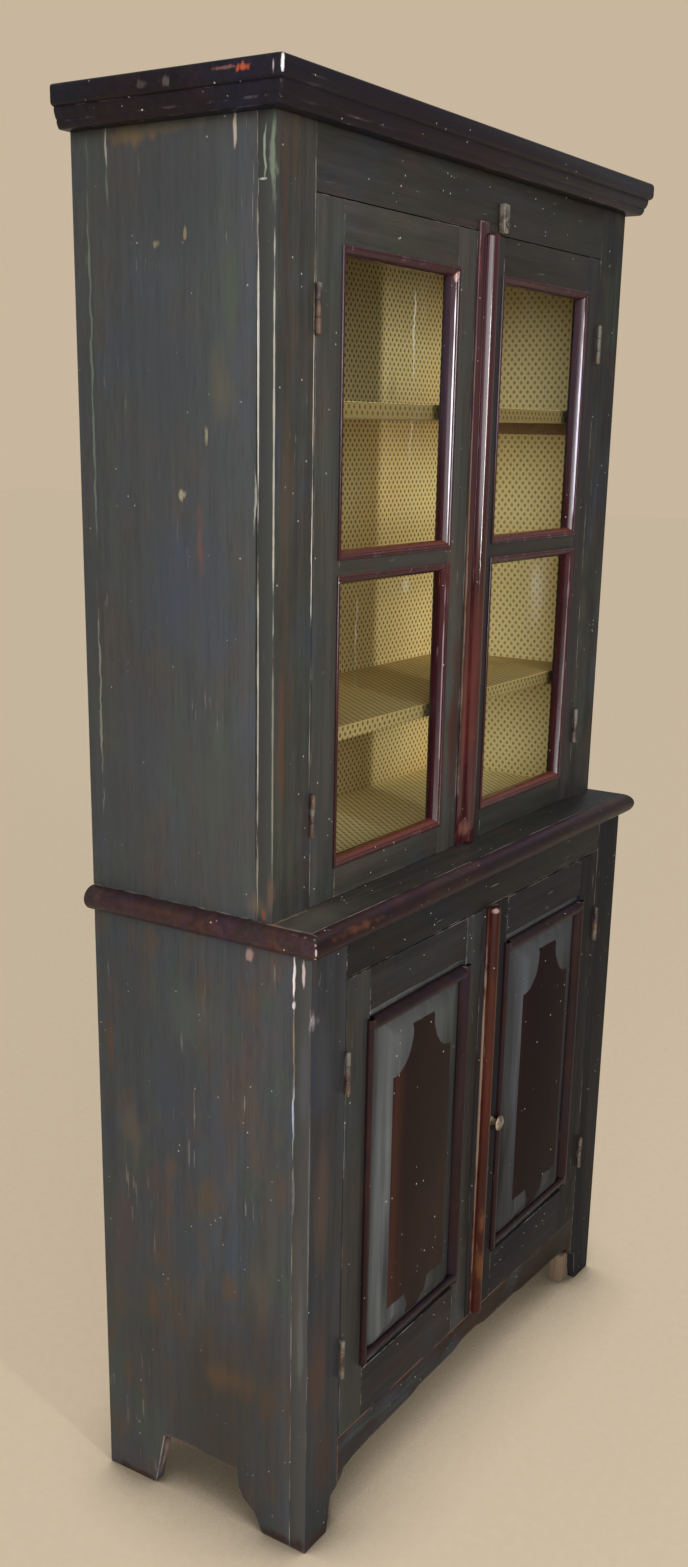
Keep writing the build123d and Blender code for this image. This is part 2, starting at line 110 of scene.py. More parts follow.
@dataclass
class Workpiece:
    """One mesh on the bench, shaped by edit-mode operators."""

    obj: bpy.types.Object

    @classmethod
    def block(cls, name: str, low: Vector, high: Vector) -> "Workpiece":
        """Adds a cube at its size and place.

        Args:
            name: The new object's name.
            low: Its lowest corner, in metres.
            high: Its highest corner, in metres.

        Returns:
            The new workpiece.
        """
        clear_selection()
        bpy.ops.mesh.primitive_cube_add(size=1.0, location=(low + high) / 2, scale=high - low)
        return cls._named(name)

    @classmethod
    def rod(cls, name: str, centre: Vector, radius: float, length: float, axis: str = "Z",
            sides: int = 32) -> "Workpiece":
        """Adds a cylinder along an axis.

        Args:
            name: The new object's name.
            centre: Its centre, in metres.
            radius: Its radius, in metres.
            length: Its length, in metres.
            axis: X, Y or Z.
            sides: How many sides it has.

        Returns:
            The new workpiece.
        """
        clear_selection()
        turn = {"X": (0, math.pi / 2, 0), "Y": (math.pi / 2, 0, 0), "Z": (0, 0, 0)}[axis]
        bpy.ops.mesh.primitive_cylinder_add(vertices=sides, radius=radius, depth=length, location=centre,
                                            rotation=turn)
        return cls._named(name)

    @classmethod
    def chain(cls, name: str, points: Sequence[Vector], closed: bool) -> "Workpiece":
        """Draws a line of edges by extruding one vertex from point to point.

        Args:
            name: The new object's name.
            points: The corners, in metres.
            closed: Whether the last point joins the first.

        Returns:
            The new workpiece, in object mode.
        """
        clear_selection()
        bpy.ops.mesh.primitive_plane_add(size=0.001, location=points[0])
        piece = cls._named(name)
        open_whole(piece.obj)
        bpy.ops.mesh.merge(type="CENTER")
        steps = list(zip(points, points[1:])) + ([(points[-1], points[0])] if closed else [])
        for start, end in steps:
            bpy.ops.mesh.extrude_vertices_move(TRANSFORM_OT_translate={"value": end - start})
        bpy.ops.mesh.select_all(action="SELECT")
        bpy.ops.mesh.remove_doubles(threshold=1e-6)
        bpy.ops.object.mode_set(mode="OBJECT")
        return piece

    @classmethod
    def bar(cls, name: str, section: Sequence[Vector], sweep: Vector,
            cuts: Sequence[tuple[Vector, Vector]] = (), capped: bool = False) -> "Workpiece":
        """Runs a moulding section along a straight line and cuts its ends.

        Args:
            name: The new object's name.
            section: The closed section's corners, in metres.
            sweep: How far and which way it runs.
            cuts: Planes as (point, normal); what lies beyond the normal goes.
            capped: Whether the ends are filled.

        Returns:
            The new workpiece.
        """
        piece = cls.chain(name, section, closed=True)
        open_whole(piece.obj)
        if capped:
            bpy.ops.mesh.edge_face_add()
        bpy.ops.mesh.extrude_region_move(TRANSFORM_OT_translate={"value": sweep})
        for place, normal in cuts:
            bpy.ops.mesh.select_all(action="SELECT")
            bpy.ops.mesh.bisect(plane_co=place, plane_no=normal, clear_outer=True, use_fill=False)
        bpy.ops.object.mode_set(mode="OBJECT")
        return piece

    @classmethod
    def copy_of(cls, name: str, node: str) -> "Workpiece":
        """Copies a CAD node's mesh and merges its loose triangles into clean flat faces.

        Args:
            name: The new object's name.
            node: The CAD node's name.

        Returns:
            The new workpiece.
        """
        clear_selection()
        obj = bpy.data.objects.new(name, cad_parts[node].data.copy())
        obj.data.name = name
        obj.data.materials.clear()
        bpy.context.scene.collection.objects.link(obj)
        take_up(obj)
        if obj.data.has_custom_normals:
            bpy.ops.mesh.customdata_custom_splitnormals_clear()
        open_whole(obj)
        bpy.ops.mesh.remove_doubles(threshold=2e-6)
        bpy.ops.mesh.dissolve_limited(angle_limit=math.radians(0.6))
        bpy.ops.object.mode_set(mode="OBJECT")
        return cls(obj)

    @classmethod
    def _named(cls, name: str) -> "Workpiece":
        """Names the object just added and applies its place to its mesh."""
        obj = bpy.context.active_object
        obj.name = name
        obj.data.name = name
        bpy.ops.object.transform_apply(location=True, rotation=True, scale=True)
        return cls(obj)

    def pick(self, part: Part, test: Callable[[Vector, Vector], bool]) -> "Workpiece":
        """Enters edit mode with only the matching parts selected.

        Args:
            part: Whether vertices, edges or faces are tested.
            test: Takes a part's middle and its normal (an edge's direction) and says whether it is meant.

        Returns:
            This workpiece.
        """
        take_up(self.obj)
        mesh = self.obj.data
        for group in (mesh.vertices, mesh.edges, mesh.polygons):
            group.foreach_set("select", [False] * len(group))
        if part is Part.FACES:
            for face in mesh.polygons:
                face.select = test(face.center, face.normal)
        elif part is Part.EDGES:
            for edge in mesh.edges:
                a, b = (mesh.vertices[i].co for i in edge.vertices)
                edge.select = test((a + b) / 2, (b - a).normalized())
        else:
            for vert in mesh.vertices:
                vert.select = test(vert.co, vert.normal)
        bpy.context.tool_settings.mesh_select_mode = part.value
        bpy.ops.object.mode_set(mode="EDIT")
        return self

    def done(self) -> "Workpiece":
        """Leaves edit mode."""
        bpy.ops.object.mode_set(mode="OBJECT")
        return self

    def bevel_picked(self, width: float, segments: int = 2) -> "Workpiece":
        """Bevels the picked edges and leaves edit mode."""
        bpy.ops.mesh.bevel(offset=width, segments=segments, affect="EDGES", profile=0.5)
        return self.done()

    def move_picked(self, step: Vector) -> "Workpiece":
        """Moves what is picked and leaves edit mode."""
        bpy.ops.transform.translate(value=step)
        return self.done()

    def joined(self, *others: "Workpiece") -> "Workpiece":
        """Joins other workpieces into this one.

        Args:
            others: The workpieces that are taken in.

        Returns:
            This workpiece.
        """
        take_up(self.obj)
        for other in others:
            other.obj.select_set(True)
        bpy.ops.object.join()
        return self

    def closed_up(self, threshold: float = 1e-5) -> "Workpiece":
        """Merges doubles and turns every face outwards."""
        open_whole(self.obj)
        bpy.ops.mesh.remove_doubles(threshold=threshold)
        bpy.ops.mesh.select_all(action="SELECT")
        bpy.ops.mesh.normals_make_consistent(inside=False)
        return self.done()

    def bored(self, cutter: "Workpiece") -> "Workpiece":
        """Cuts another workpiece out of this one and removes the cutter.

        Args:
            cutter: The workpiece whose shape is taken away.

        Returns:
            This workpiece.
        """
        take_up(self.obj)
        cut = self.obj.modifiers.new("cut", "BOOLEAN")
        cut.operation = "DIFFERENCE"
        cut.solver = "EXACT"
        cut.object = cutter.obj
        bpy.ops.object.modifier_apply(modifier=cut.name)
        bpy.data.objects.remove(cutter.obj)
        return self

    def eased(self, width: float, segments: int = 2, above: float = 25.0, clamp: bool = True) -> "Workpiece":
        """Rounds every sharp arris a little and marks the new faces as worn edge.

        Args:
            width: The rounding's width in metres.
            segments: How many faces it has.
            above: Edges sharper than this angle in degrees are rounded.
            clamp: Whether the width is kept under the length of short edges.

        Returns:
            This workpiece.
        """
        take_up(self.obj)
        mesh = self.obj.data
        while len(mesh.materials) < 2:
            mesh.materials.append(None)
        bevel = self.obj.modifiers.new("eased", "BEVEL")
        bevel.width = width
        bevel.segments = segments
        bevel.limit_method = "ANGLE"
        bevel.angle_limit = math.radians(above)
        bevel.material = 1
        bevel.use_clamp_overlap = clamp
        bevel.harden_normals = False
        bpy.ops.object.modifier_apply(modifier=bevel.name)
        worn = mesh.attributes.new("worn_edge", "FLOAT", "FACE")
        marks = [1.0 if face.material_index == 1 else 0.0 for face in mesh.polygons]
        worn.data.foreach_set("value", marks)
        mesh.polygons.foreach_set("material_index", [0] * len(mesh.polygons))
        mesh.materials.clear()
        return self

    def smoothed(self, angle: float = 35.0) -> "Workpiece":
        """Shades faces smooth where they meet under an angle in degrees."""
        take_up(self.obj)
        bpy.ops.object.shade_smooth_by_angle(angle=math.radians(angle))
        return self

    def place(self, body: str, slot: str, look: "Finish", *nodes: str) -> bpy.types.Object:
        """Gives the finished piece its material, hangs it on its body and hides the nodes that it replaces.

        Args:
            body: The body that it rides on.
            slot: Not used.
            look: Its finish.
            nodes: The CAD nodes that it replaces.

        Returns:
            The finished object.
        """
        obj = self.obj
        obj.data.materials.clear()
        obj.data.materials.append(look.material())
        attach(obj, body)
        if nodes:
            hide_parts(*nodes)
        LOG.info("%s: %d faces on %s", obj.name, len(obj.data.polygons), body)
        return obj


# ---------------------------------------------------------------------------------------------------------------
# Shader tools
# ---------------------------------------------------------------------------------------------------------------

def shade(code: str) -> tuple[float, float, float, float]:
    """Turns a colour as it is seen, such as #3a2b1c, into linear values.

    Args:
        code: The colour in six hexadecimal digits after a hash.

    Returns:
        Linear red, green and blue, and 1 for alpha.
    """
    parts = [int(code[i:i + 2], 16) / 255 for i in (1, 3, 5)]
    lin = [p / 12.92 if p <= 0.04045 else ((p + 0.055) / 1.055) ** 2.4 for p in parts]
    return (lin[0], lin[1], lin[2], 1.0)


class Wire:
    """A shader socket that takes part in Python sums."""

    def __init__(self, sheet: "Sheet", socket: bpy.types.NodeSocket) -> None:
        """Keeps the socket and the sheet that it is on."""
        self.sheet = sheet
        self.socket = socket

    def math(self, operation: str, *terms: "Term") -> "Wire":
        """Adds a Math node on the given terms."""
        return self.sheet.node("ShaderNodeMath", {"operation": operation}, dict(enumerate(terms)))

    def __add__(self, other: "Term") -> "Wire":
        """Adds."""
        return self.math("ADD", self, other)

    def __radd__(self, other: "Term") -> "Wire":
        """Adds, with the plain number first."""
        return self.math("ADD", other, self)

    def __sub__(self, other: "Term") -> "Wire":
        """Takes away."""
        return self.math("SUBTRACT", self, other)

    def __rsub__(self, other: "Term") -> "Wire":
        """Takes this away from a plain number."""
        return self.math("SUBTRACT", other, self)

    def __mul__(self, other: "Term") -> "Wire":
        """Multiplies."""
        return self.math("MULTIPLY", self, other)

    def __rmul__(self, other: "Term") -> "Wire":
        """Multiplies, with the plain number first."""
        return self.math("MULTIPLY", other, self)

    def __truediv__(self, other: "Term") -> "Wire":
        """Divides."""
        return self.math("DIVIDE", self, other)

    def __pow__(self, other: "Term") -> "Wire":
        """Raises to a power."""
        return self.math("POWER", self, other)

    def __abs__(self) -> "Wire":
        """Drops the sign."""
        return self.math("ABSOLUTE", self)

    def lower_of(self, other: "Term") -> "Wire":
        """Keeps the lower of the two."""
        return self.math("MINIMUM", self, other)

    def higher_of(self, other: "Term") -> "Wire":
        """Keeps the higher of the two."""
        return self.math("MAXIMUM", self, other)

    def over(self, level: "Term") -> "Wire":
        """Gives 1 above a level and 0 below it."""
        return self.math("GREATER_THAN", self, level)

    def repeat(self, length: float) -> "Wire":
        """Gives the distance from the middle of the cell of this length that the value lies in."""
        cell = (self / length).math("FRACT", self / length)
        return abs(cell - 0.5) * length

    def between(self, low: float, high: float, start: float = 0.0, end: float = 1.0) -> "Wire":
        """Eases from start at one level to end at another.

        Args:
            low: The level where the result is start.
            high: The level where the result is end.
            start: The first result.
            end: The last result.

        Returns:
            The eased value.
        """
        return self.sheet.node("ShaderNodeMapRange", {"interpolation_type": "SMOOTHSTEP"},
                               {"Value": self, "From Min": low, "From Max": high, "To Min": start,
                                "To Max": end})


Term = Union[Wire, float]


class Sheet:
    """A material's node sheet."""

    def __init__(self, name: str) -> None:
        """Starts a material with an empty sheet."""
        self.material = bpy.data.materials.new(name)
        self.material.use_nodes = True
        self.tree = self.material.node_tree
        self.tree.nodes.clear()
        self.place = self.node("ShaderNodeTexCoord", {}, {}, "Object")
        self.facing = self.node("ShaderNodeTexCoord", {}, {}, "Normal")

    def node(self, kind: str, settings: Mapping[str, Any], inputs: Mapping[Any, Any],
             output: Union[int, str] = 0) -> Wire:
        """Adds one node.

        Args:
            kind: The node's type name.
            settings: Its settings, set first; "stops" gives a ramp's stops as (position, colour).
            inputs: Values or wires for its sockets, by name or number.
            output: The output that is wanted.

        Returns:
            A wire on that output.
        """
        made = self.tree.nodes.new(kind)
        for key, value in settings.items():
            if key == "stops":
                ramp = made.color_ramp
                while len(ramp.elements) < len(value):
                    ramp.elements.new(0.5)
                for element, (position, colour) in zip(ramp.elements, value):
                    element.position = position
                    element.color = colour
            else:
                setattr(made, key, value)
        for key, value in inputs.items():
            socket = made.inputs[key]
            if isinstance(value, Wire):
                self.tree.links.new(value.socket, socket)
            else:
                socket.default_value = value
        return Wire(self, made.outputs[output])

    def parts(self, vector: Wire) -> tuple[Wire, Wire, Wire]:
        """Splits a vector into x, y and z."""
        x = self.node("ShaderNodeSeparateXYZ", {}, {0: vector})
        outs = x.socket.node.outputs
        return Wire(self, outs[0]), Wire(self, outs[1]), Wire(self, outs[2])

    def stretched(self, stretch: Point, shift: float = 0.0) -> Wire:
        """Gives Object coordinates, stretched along the axes and shifted.

        Args:
            stretch: What each axis is multiplied by; a small number draws the pattern out.
            shift: An offset that gives another stretch of the pattern.

        Returns:
            The new coordinates.
        """
        return self.node("ShaderNodeMapping", {}, {"Vector": self.place, "Scale": stretch,
                                                   "Location": (shift, shift * 0.37, shift * 0.71)})

    def noise(self, scale: float, stretch: Point = (1, 1, 1), shift: float = 0.0, detail: float = 3.0,
              rough: float = 0.5) -> Wire:
        """Gives cloudy noise from 0 to 1 around one half."""
        return self.node("ShaderNodeTexNoise", {}, {"Vector": self.stretched(stretch, shift), "Scale": scale,
                                                    "Detail": detail, "Roughness": rough}, 0)

    def specks(self, scale: float, shift: float = 0.0, stretch: Point = (1, 1, 1)) -> Wire:
        """Gives the distance to the nearest of a scatter of points."""
        return self.node("ShaderNodeTexVoronoi", {"feature": "F1"},
                         {"Vector": self.stretched(stretch, shift), "Scale": scale}, "Distance")

    def blend(self, amount: Term, first: Any, second: Any, mode: str = "MIX") -> Wire:
        """Mixes two colours.

        Args:
            amount: How much of the second, 0 to 1.
            first: A colour or wire.
            second: A colour or wire.
            mode: The Mix node's blend type.

        Returns:
            The mixed colour.
        """
        return self.node("ShaderNodeMix", {"data_type": "RGBA", "blend_type": mode, "clamp_factor": True},
                         {0: amount, 6: first, 7: second}, 2)

    def bump(self, height: Wire, strength: float, distance: float) -> Wire:
        """Turns a height into a normal."""
        return self.node("ShaderNodeBump", {}, {"Strength": strength, "Distance": distance, "Height": height})

    def principled(self, inputs: Mapping[Any, Any]) -> Wire:
        """Adds a Principled shader."""
        return self.node("ShaderNodeBsdfPrincipled", {}, inputs)

    def close(self, shader: Wire) -> bpy.types.Material:
        """Joins a shader to the material's output.

        Args:
            shader: The last shader.

        Returns:
            The finished material.
        """
        self.node_output = self.tree.nodes.new("ShaderNodeOutputMaterial")
        self.tree.links.new(shader.socket, self.node_output.inputs["Surface"])
        return self.material


# ---------------------------------------------------------------------------------------------------------------
# Finishes
# ---------------------------------------------------------------------------------------------------------------

_MADE: dict["Finish", bpy.types.Material] = {}


@dataclass(frozen=True)
class Finish:
    """A surface finish, made into a material the first time it is used."""

    name: str

    def material(self) -> bpy.types.Material:
        """Gives this finish's material.

        Returns:
            The material, made once and then shared.
        """
        if self not in _MADE:
            _MADE[self] = self.make()
        return _MADE[self]

    def make(self) -> bpy.types.Material:
        """Makes the material."""
        raise NotImplementedError


class Grain(Enum):
    """Which way a board's grain and brush strokes run."""

    UPRIGHT = (1.0, 1.0, 0.05)
    ACROSS = (0.05, 1.0, 1.0)
    DEEP = (1.0, 0.05, 1.0)


@dataclass(frozen=True)
class Mark:
    """One worn place, stain, scratch or drip, or a painted highlight, reflection or shade: an oval with a ragged edge,
    in millimetres.
    """

    centre: Point
    half: Point
    colour: str
    amount: float = 1.0
    soft: float = 0.5
    ragged: float = 0.8
    detail: float = 90.0
    wander: float = 0.0

    def mask(self, sheet: Sheet) -> Wire:
        """Gives 1 inside the mark and 0 outside.

        Args:
            sheet: The sheet that it is drawn on.

        Returns:
            The mark's mask, times its amount.
        """
        away = sheet.node("ShaderNodeVectorMath", {"operation": "SUBTRACT"},
                          {0: sheet.place, 1: tuple(mm(*self.centre))})
        if self.wander:
            sway = (sheet.noise(26, (0.01, 0.01, 1), shift=self.centre[1] * 0.01, detail=2) - 0.5) * (
                2 * self.wander * MM)
            offset = sheet.node("ShaderNodeCombineXYZ", {}, {0: sway, 1: sway})
            away = sheet.node("ShaderNodeVectorMath", {"operation": "ADD"}, {0: away, 1: offset})
        scaled = sheet.node("ShaderNodeVectorMath", {"operation": "DIVIDE"}, {0: away, 1: tuple(mm(*self.half))})
        length = sheet.node("ShaderNodeVectorMath", {"operation": "LENGTH"}, {0: scaled}, "Value")
        rough = sheet.noise(self.detail, (1, 1, 0.35), shift=self.centre[2] * 0.01, detail=3)
        return (length + (rough - 0.5) * (2 * self.ragged)).between(1.0, 1.0 - self.soft) * self.amount


@dataclass(frozen=True)
class WornPaint(Finish):
    """Old brushed paint with patches of several hues, streaks, stains, specks and rubbed edges; some finishes add a
    painted sheen and painted light or shade on faces turned one way.
    """

    base: str = "#3a3a37"
    cloud: str = "#3f4142"
    stain: str = "#43352b"
    bare: str = "#a39a8c"
    speck: str = "#c4beb2"
    cool: str = "#3b4250"
    green: str = "#3b4237"
    warm: str = "#47392f"
    deep: str = "#1c1a16"
    # Painted sheen: faces turned left, above a height, take a pale colour in place of the light's sheen.
    painted_sheen: str = ""
    painted_sheen_from: float = 1.45
    # Painted light and shade by facing: faces turned to the front are darkened towards the front colour, faces turned
    # left or up lightened towards the left or top colour, by the tone amount.
    front_painted_shade: str = ""
    left_painted_light: str = ""
    top_painted_light: str = ""
    tone: float = 0.5
    grain: Grain = Grain.UPRIGHT
    clouding: float = 0.7
    patching: float = 0.5
    patch_detail: float = 1.0
    staining: float = 0.5
    streaking: float = 0.32
    scratching: float = 0.3
    speckling: float = 0.5
    edge: float = 0.45
    rough: float = 0.46
    shine: float = 0.12
    relief: float = 0.28
    marks: tuple[Mark, ...] = ()

    def make(self) -> bpy.types.Material:
        """Makes the material."""
        sheet = Sheet(self.name)
        along = self.grain.value
        drawn = tuple(0.58 + 0.42 * a for a in along)
        clouds = sheet.noise(3.1, drawn, shift=3.0, detail=4, rough=0.6)
        streaks = sheet.noise(70, along, shift=9.0, detail=5, rough=0.62)
        hairs = sheet.noise(210, tuple(a * 0.5 if a < 1 else 1.0 for a in along), shift=51.0, detail=3)
        colour = sheet.blend(clouds.between(0.42, 0.66) * self.clouding, shade(self.base), shade(self.cloud))
        brush = streaks.between(0.3, 0.62)
        for number, hue in enumerate((self.cool, self.green, self.warm)):
            size = (8.5 + 3.5 * number) * self.patch_detail
            patch = sheet.noise(size, drawn, shift=57.0 + 13.0 * number, detail=5, rough=0.64)
            amount = patch.between(0.48, 0.68) * (0.7 + brush * 0.3) * self.patching
            colour = sheet.blend(amount, colour, shade(hue))
        stains = sheet.noise(6.5, tuple(0.35 + 0.65 * a for a in along), shift=17.0, detail=6, rough=0.68)
        rust = stains.between(0.53, 0.7) * (0.5 + brush * 0.5) * self.staining
        colour = sheet.blend(rust, colour, shade(self.stain))
        fine = sheet.noise(260, tuple(max(a, 0.12) for a in along), shift=5.0, detail=3)
        colour = sheet.blend(self.streaking, colour, streaks.between(0.28, 0.72, 0.22, 0.8), "OVERLAY")
        colour = sheet.blend(hairs.between(0.5, 0.36) * 0.45 * self.streaking, colour, shade(self.deep))
        colour = sheet.blend((0.5 - fine).higher_of(0.0) * 0.8, colour, shade(self.deep))
        thin = tuple(a * 1.6 if a < 1 else 1.0 for a in along)
        scratches = sheet.noise(190, thin, shift=21.0, detail=2).between(0.66, 0.71)
        where = sheet.noise(9, shift=31.0, detail=3).between(0.54, 0.66)
        scraped = scratches * where * self.scratching
        colour = sheet.blend(scraped, colour, shade(self.bare))
        nicks = sheet.specks(48, shift=12.0, stretch=tuple(0.55 + 0.45 * a for a in along)).between(0.13, 0.09)
        nicked = nicks * sheet.noise(16, shift=61.0, detail=1).between(0.56, 0.62) * self.scratching
        colour = sheet.blend(nicked * 0.7, colour, shade(self.stain))
        dots = sheet.specks(85, shift=2.0).between(0.125, 0.085)
        spread = 0.66 - 0.13 * self.speckling
        sparse = sheet.noise(30, shift=41.0, detail=1).between(spread, spread + 0.06)
        flecks = dots * sparse * min(1.0, self.speckling * 1.4)
        colour = sheet.blend(flecks, colour, shade(self.speck))
        edge = sheet.node("ShaderNodeAttribute", {"attribute_name": "worn_edge"}, {}, "Fac")
        chips = sheet.noise(45, tuple(0.2 + 0.8 * a for a in along), shift=8.0, detail=4, rough=0.7)
        rubbed = edge * chips.between(0.60 - 0.3 * self.edge, 0.72 - 0.2 * self.edge) * self.edge
        colour = sheet.blend(rubbed, colour, shade(self.bare))
        worn = rubbed + scraped
        # Painted sheen on the left-turned faces high up.
        if self.painted_sheen:
            turned_left = (-1 * sheet.parts(sheet.facing)[0]).between(0.6, 0.92)
            high = sheet.parts(sheet.place)[2].between(self.painted_sheen_from, self.painted_sheen_from + 0.25)
            colour = sheet.blend(turned_left * high * streaks.between(0.2, 0.6, 0.3, 0.65), colour,
                                 shade(self.painted_sheen))
        # Painted light and shade on faces turned front, left or up.
        for tone, axis, way in ((self.front_painted_shade, 1, -1), (self.left_painted_light, 0, -1), (self.top_painted_light, 2, 1)):
            if tone:
                turned = (way * sheet.parts(sheet.facing)[axis]).between(0.35, 0.8)
                colour = sheet.blend(turned * self.tone, colour, shade(tone))
        for mark in self.marks:
            mask = mark.mask(sheet)
            colour = sheet.blend(mask, colour, shade(mark.colour))
        height = streaks * 0.5 + fine * 0.25 - worn * 0.6 + clouds * 0.4
        normal = sheet.bump(height, self.relief, 0.0012)
        rough = (self.rough + (clouds - 0.5) * 0.25 + (fine - 0.5) * 0.16 + worn * 0.3).lower_of(0.9)
        return sheet.close(sheet.principled({"Base Color": colour, "Roughness": rough, "Normal": normal,
                                             "Specular IOR Level": self.shine}))


@dataclass(frozen=True)
class PanelPaint(Finish):
    """Blue-grey bevels round a drab flat with a shaped dark red-brown field; painted light on the bevels turned left
    and up, painted shade on the bevel turned right.
    """

    centre_x: float = -226.0
    flat: str = "#1b1d1a"
    bevel: str = "#353638"
    # Colour of the painted light on the bevels turned left and up.
    bright: str = "#595b5b"
    field: str = "#241310"
    glow: str = "#3c221c"
    dusk: str = "#1d1412"
    speck: str = "#a79f94"
    half: float = 88.0
    neck: float = 33.0
    foot: float = 19.0
    shoulder_z: float = 745.0
    top_z: float = 811.0
    square_z: float = 336.0
    foot_z: float = 287.0
    shine: float = 0.06

    def field_mask(self, sheet: Sheet) -> Wire:
        """Draws the shaped field: a neck between two quarter-oval bites above, and a foot below.

        Args:
            sheet: The sheet that it is drawn on.

        Returns:
            1 inside the field and 0 outside.
        """
        x, _, z = sheet.parts(sheet.place)
        wander = (sheet.noise(38, shift=4.0, detail=2) - 0.5) * 7.0
        across = abs(x * 1000 - self.centre_x) + wander
        level = z * 1000 + (sheet.noise(31, shift=11.0, detail=2) - 0.5) * 6.0
        reach = ((across - self.neck) / (self.half - self.neck)).higher_of(0.0).lower_of(1.0)
        rise = 1 - (1 - (1 - reach) ** 2.0).higher_of(0.0) ** 0.5
        roof = self.shoulder_z + rise * (self.top_z - self.shoulder_z) + (1 - reach.over(0.001)) * 40
        under_roof = (roof - level).between(-0.8, 0.8)
        body = (level - self.square_z).between(-0.8, 0.8) * (self.half + 3 - abs(x * 1000 - self.centre_x)) \
            .between(-0.5, 0.5)
        widening = (self.neck + 4 - self.foot) / (self.square_z - self.foot_z)
        taper = (self.foot + (level - self.foot_z) * widening).lower_of(self.neck + 4)
        foot = (taper - across).between(-0.8, 0.8) * (level - self.foot_z).between(-0.8, 0.8)
        top = (self.top_z + 6 - level).between(-0.5, 0.5)
        return (body.higher_of(foot) * under_roof * top).lower_of(1.0)

    def make(self) -> bpy.types.Material:
        """Makes the material."""
        sheet = Sheet(self.name)
        x, _, _ = sheet.parts(sheet.place)
        nx, ny, nz = sheet.parts(sheet.facing)
        field = self.field_mask(sheet) * ny.between(0.6, 0.3)
        # Painted light and shade on the bevels: the bevel turned right stays dark, and the bevels turned left and up
        # are lightened towards the bright colour.
        slope = (abs(nx) + abs(nz)).between(0.05, 0.12) * (1 - nx.between(0.05, 0.12) * 0.8)
        rising = nz.between(0.05, 0.12)
        towards_light = (-1 * nx).between(0.05, 0.12).higher_of(rising * 0.6)
        streaks = sheet.noise(75, (1, 1, 0.03), shift=6.0, detail=5, rough=0.6)
        clouds = sheet.noise(5, (1, 1, 0.4), shift=2.0, detail=5, rough=0.6)
        wide = sheet.noise(30, (1, 1, 0.05), shift=26.0, detail=3, rough=0.6)
        colour = sheet.blend(slope * clouds.between(0.3, 0.6, 0.6, 1.0), shade(self.flat), shade(self.bevel))
        brushed = (wide.between(0.36, 0.6) * (1 - rising) + rising * 0.8).lower_of(1.0)
        colour = sheet.blend(towards_light * brushed, colour, shade(self.bright))
        colour = sheet.blend(0.5 - rising * 0.35, colour, streaks.between(0.25, 0.75, 0.2, 0.8), "OVERLAY")
        colour = sheet.blend(clouds.between(0.5, 0.72) * slope * 0.5, colour, shade("#34382f"))
        dark = sheet.blend(clouds.between(0.35, 0.7), shade(self.field), shade(self.dusk))
        left_glow = (-1 * (x * 1000 - self.centre_x)).between(40, 92) * streaks.between(0.3, 0.6) * 0.8
        dark = sheet.blend(left_glow, dark, shade(self.glow))
        colour = sheet.blend(field, colour, dark)
        dots = sheet.specks(60, shift=7.0).between(0.11, 0.08)
        flecks = dots * sheet.noise(24, shift=14.0, detail=1).between(0.56, 0.61)
        colour = sheet.blend(flecks * 0.9, colour, shade(self.speck))
        edge = sheet.node("ShaderNodeAttribute", {"attribute_name": "worn_edge"}, {}, "Fac")
        rubbed = edge * streaks.between(0.4, 0.6) * 0.3
        colour = sheet.blend(rubbed, colour, shade("#7b8482"))
        normal = sheet.bump(streaks * 0.6 + field * 0.25, 0.25, 0.001)
        rough = 0.46 + (clouds - 0.5) * 0.3 + field * -0.04
        return sheet.close(sheet.principled({"Base Color": colour, "Roughness": rough, "Normal": normal,
                                             "Specular IOR Level": self.shine}))


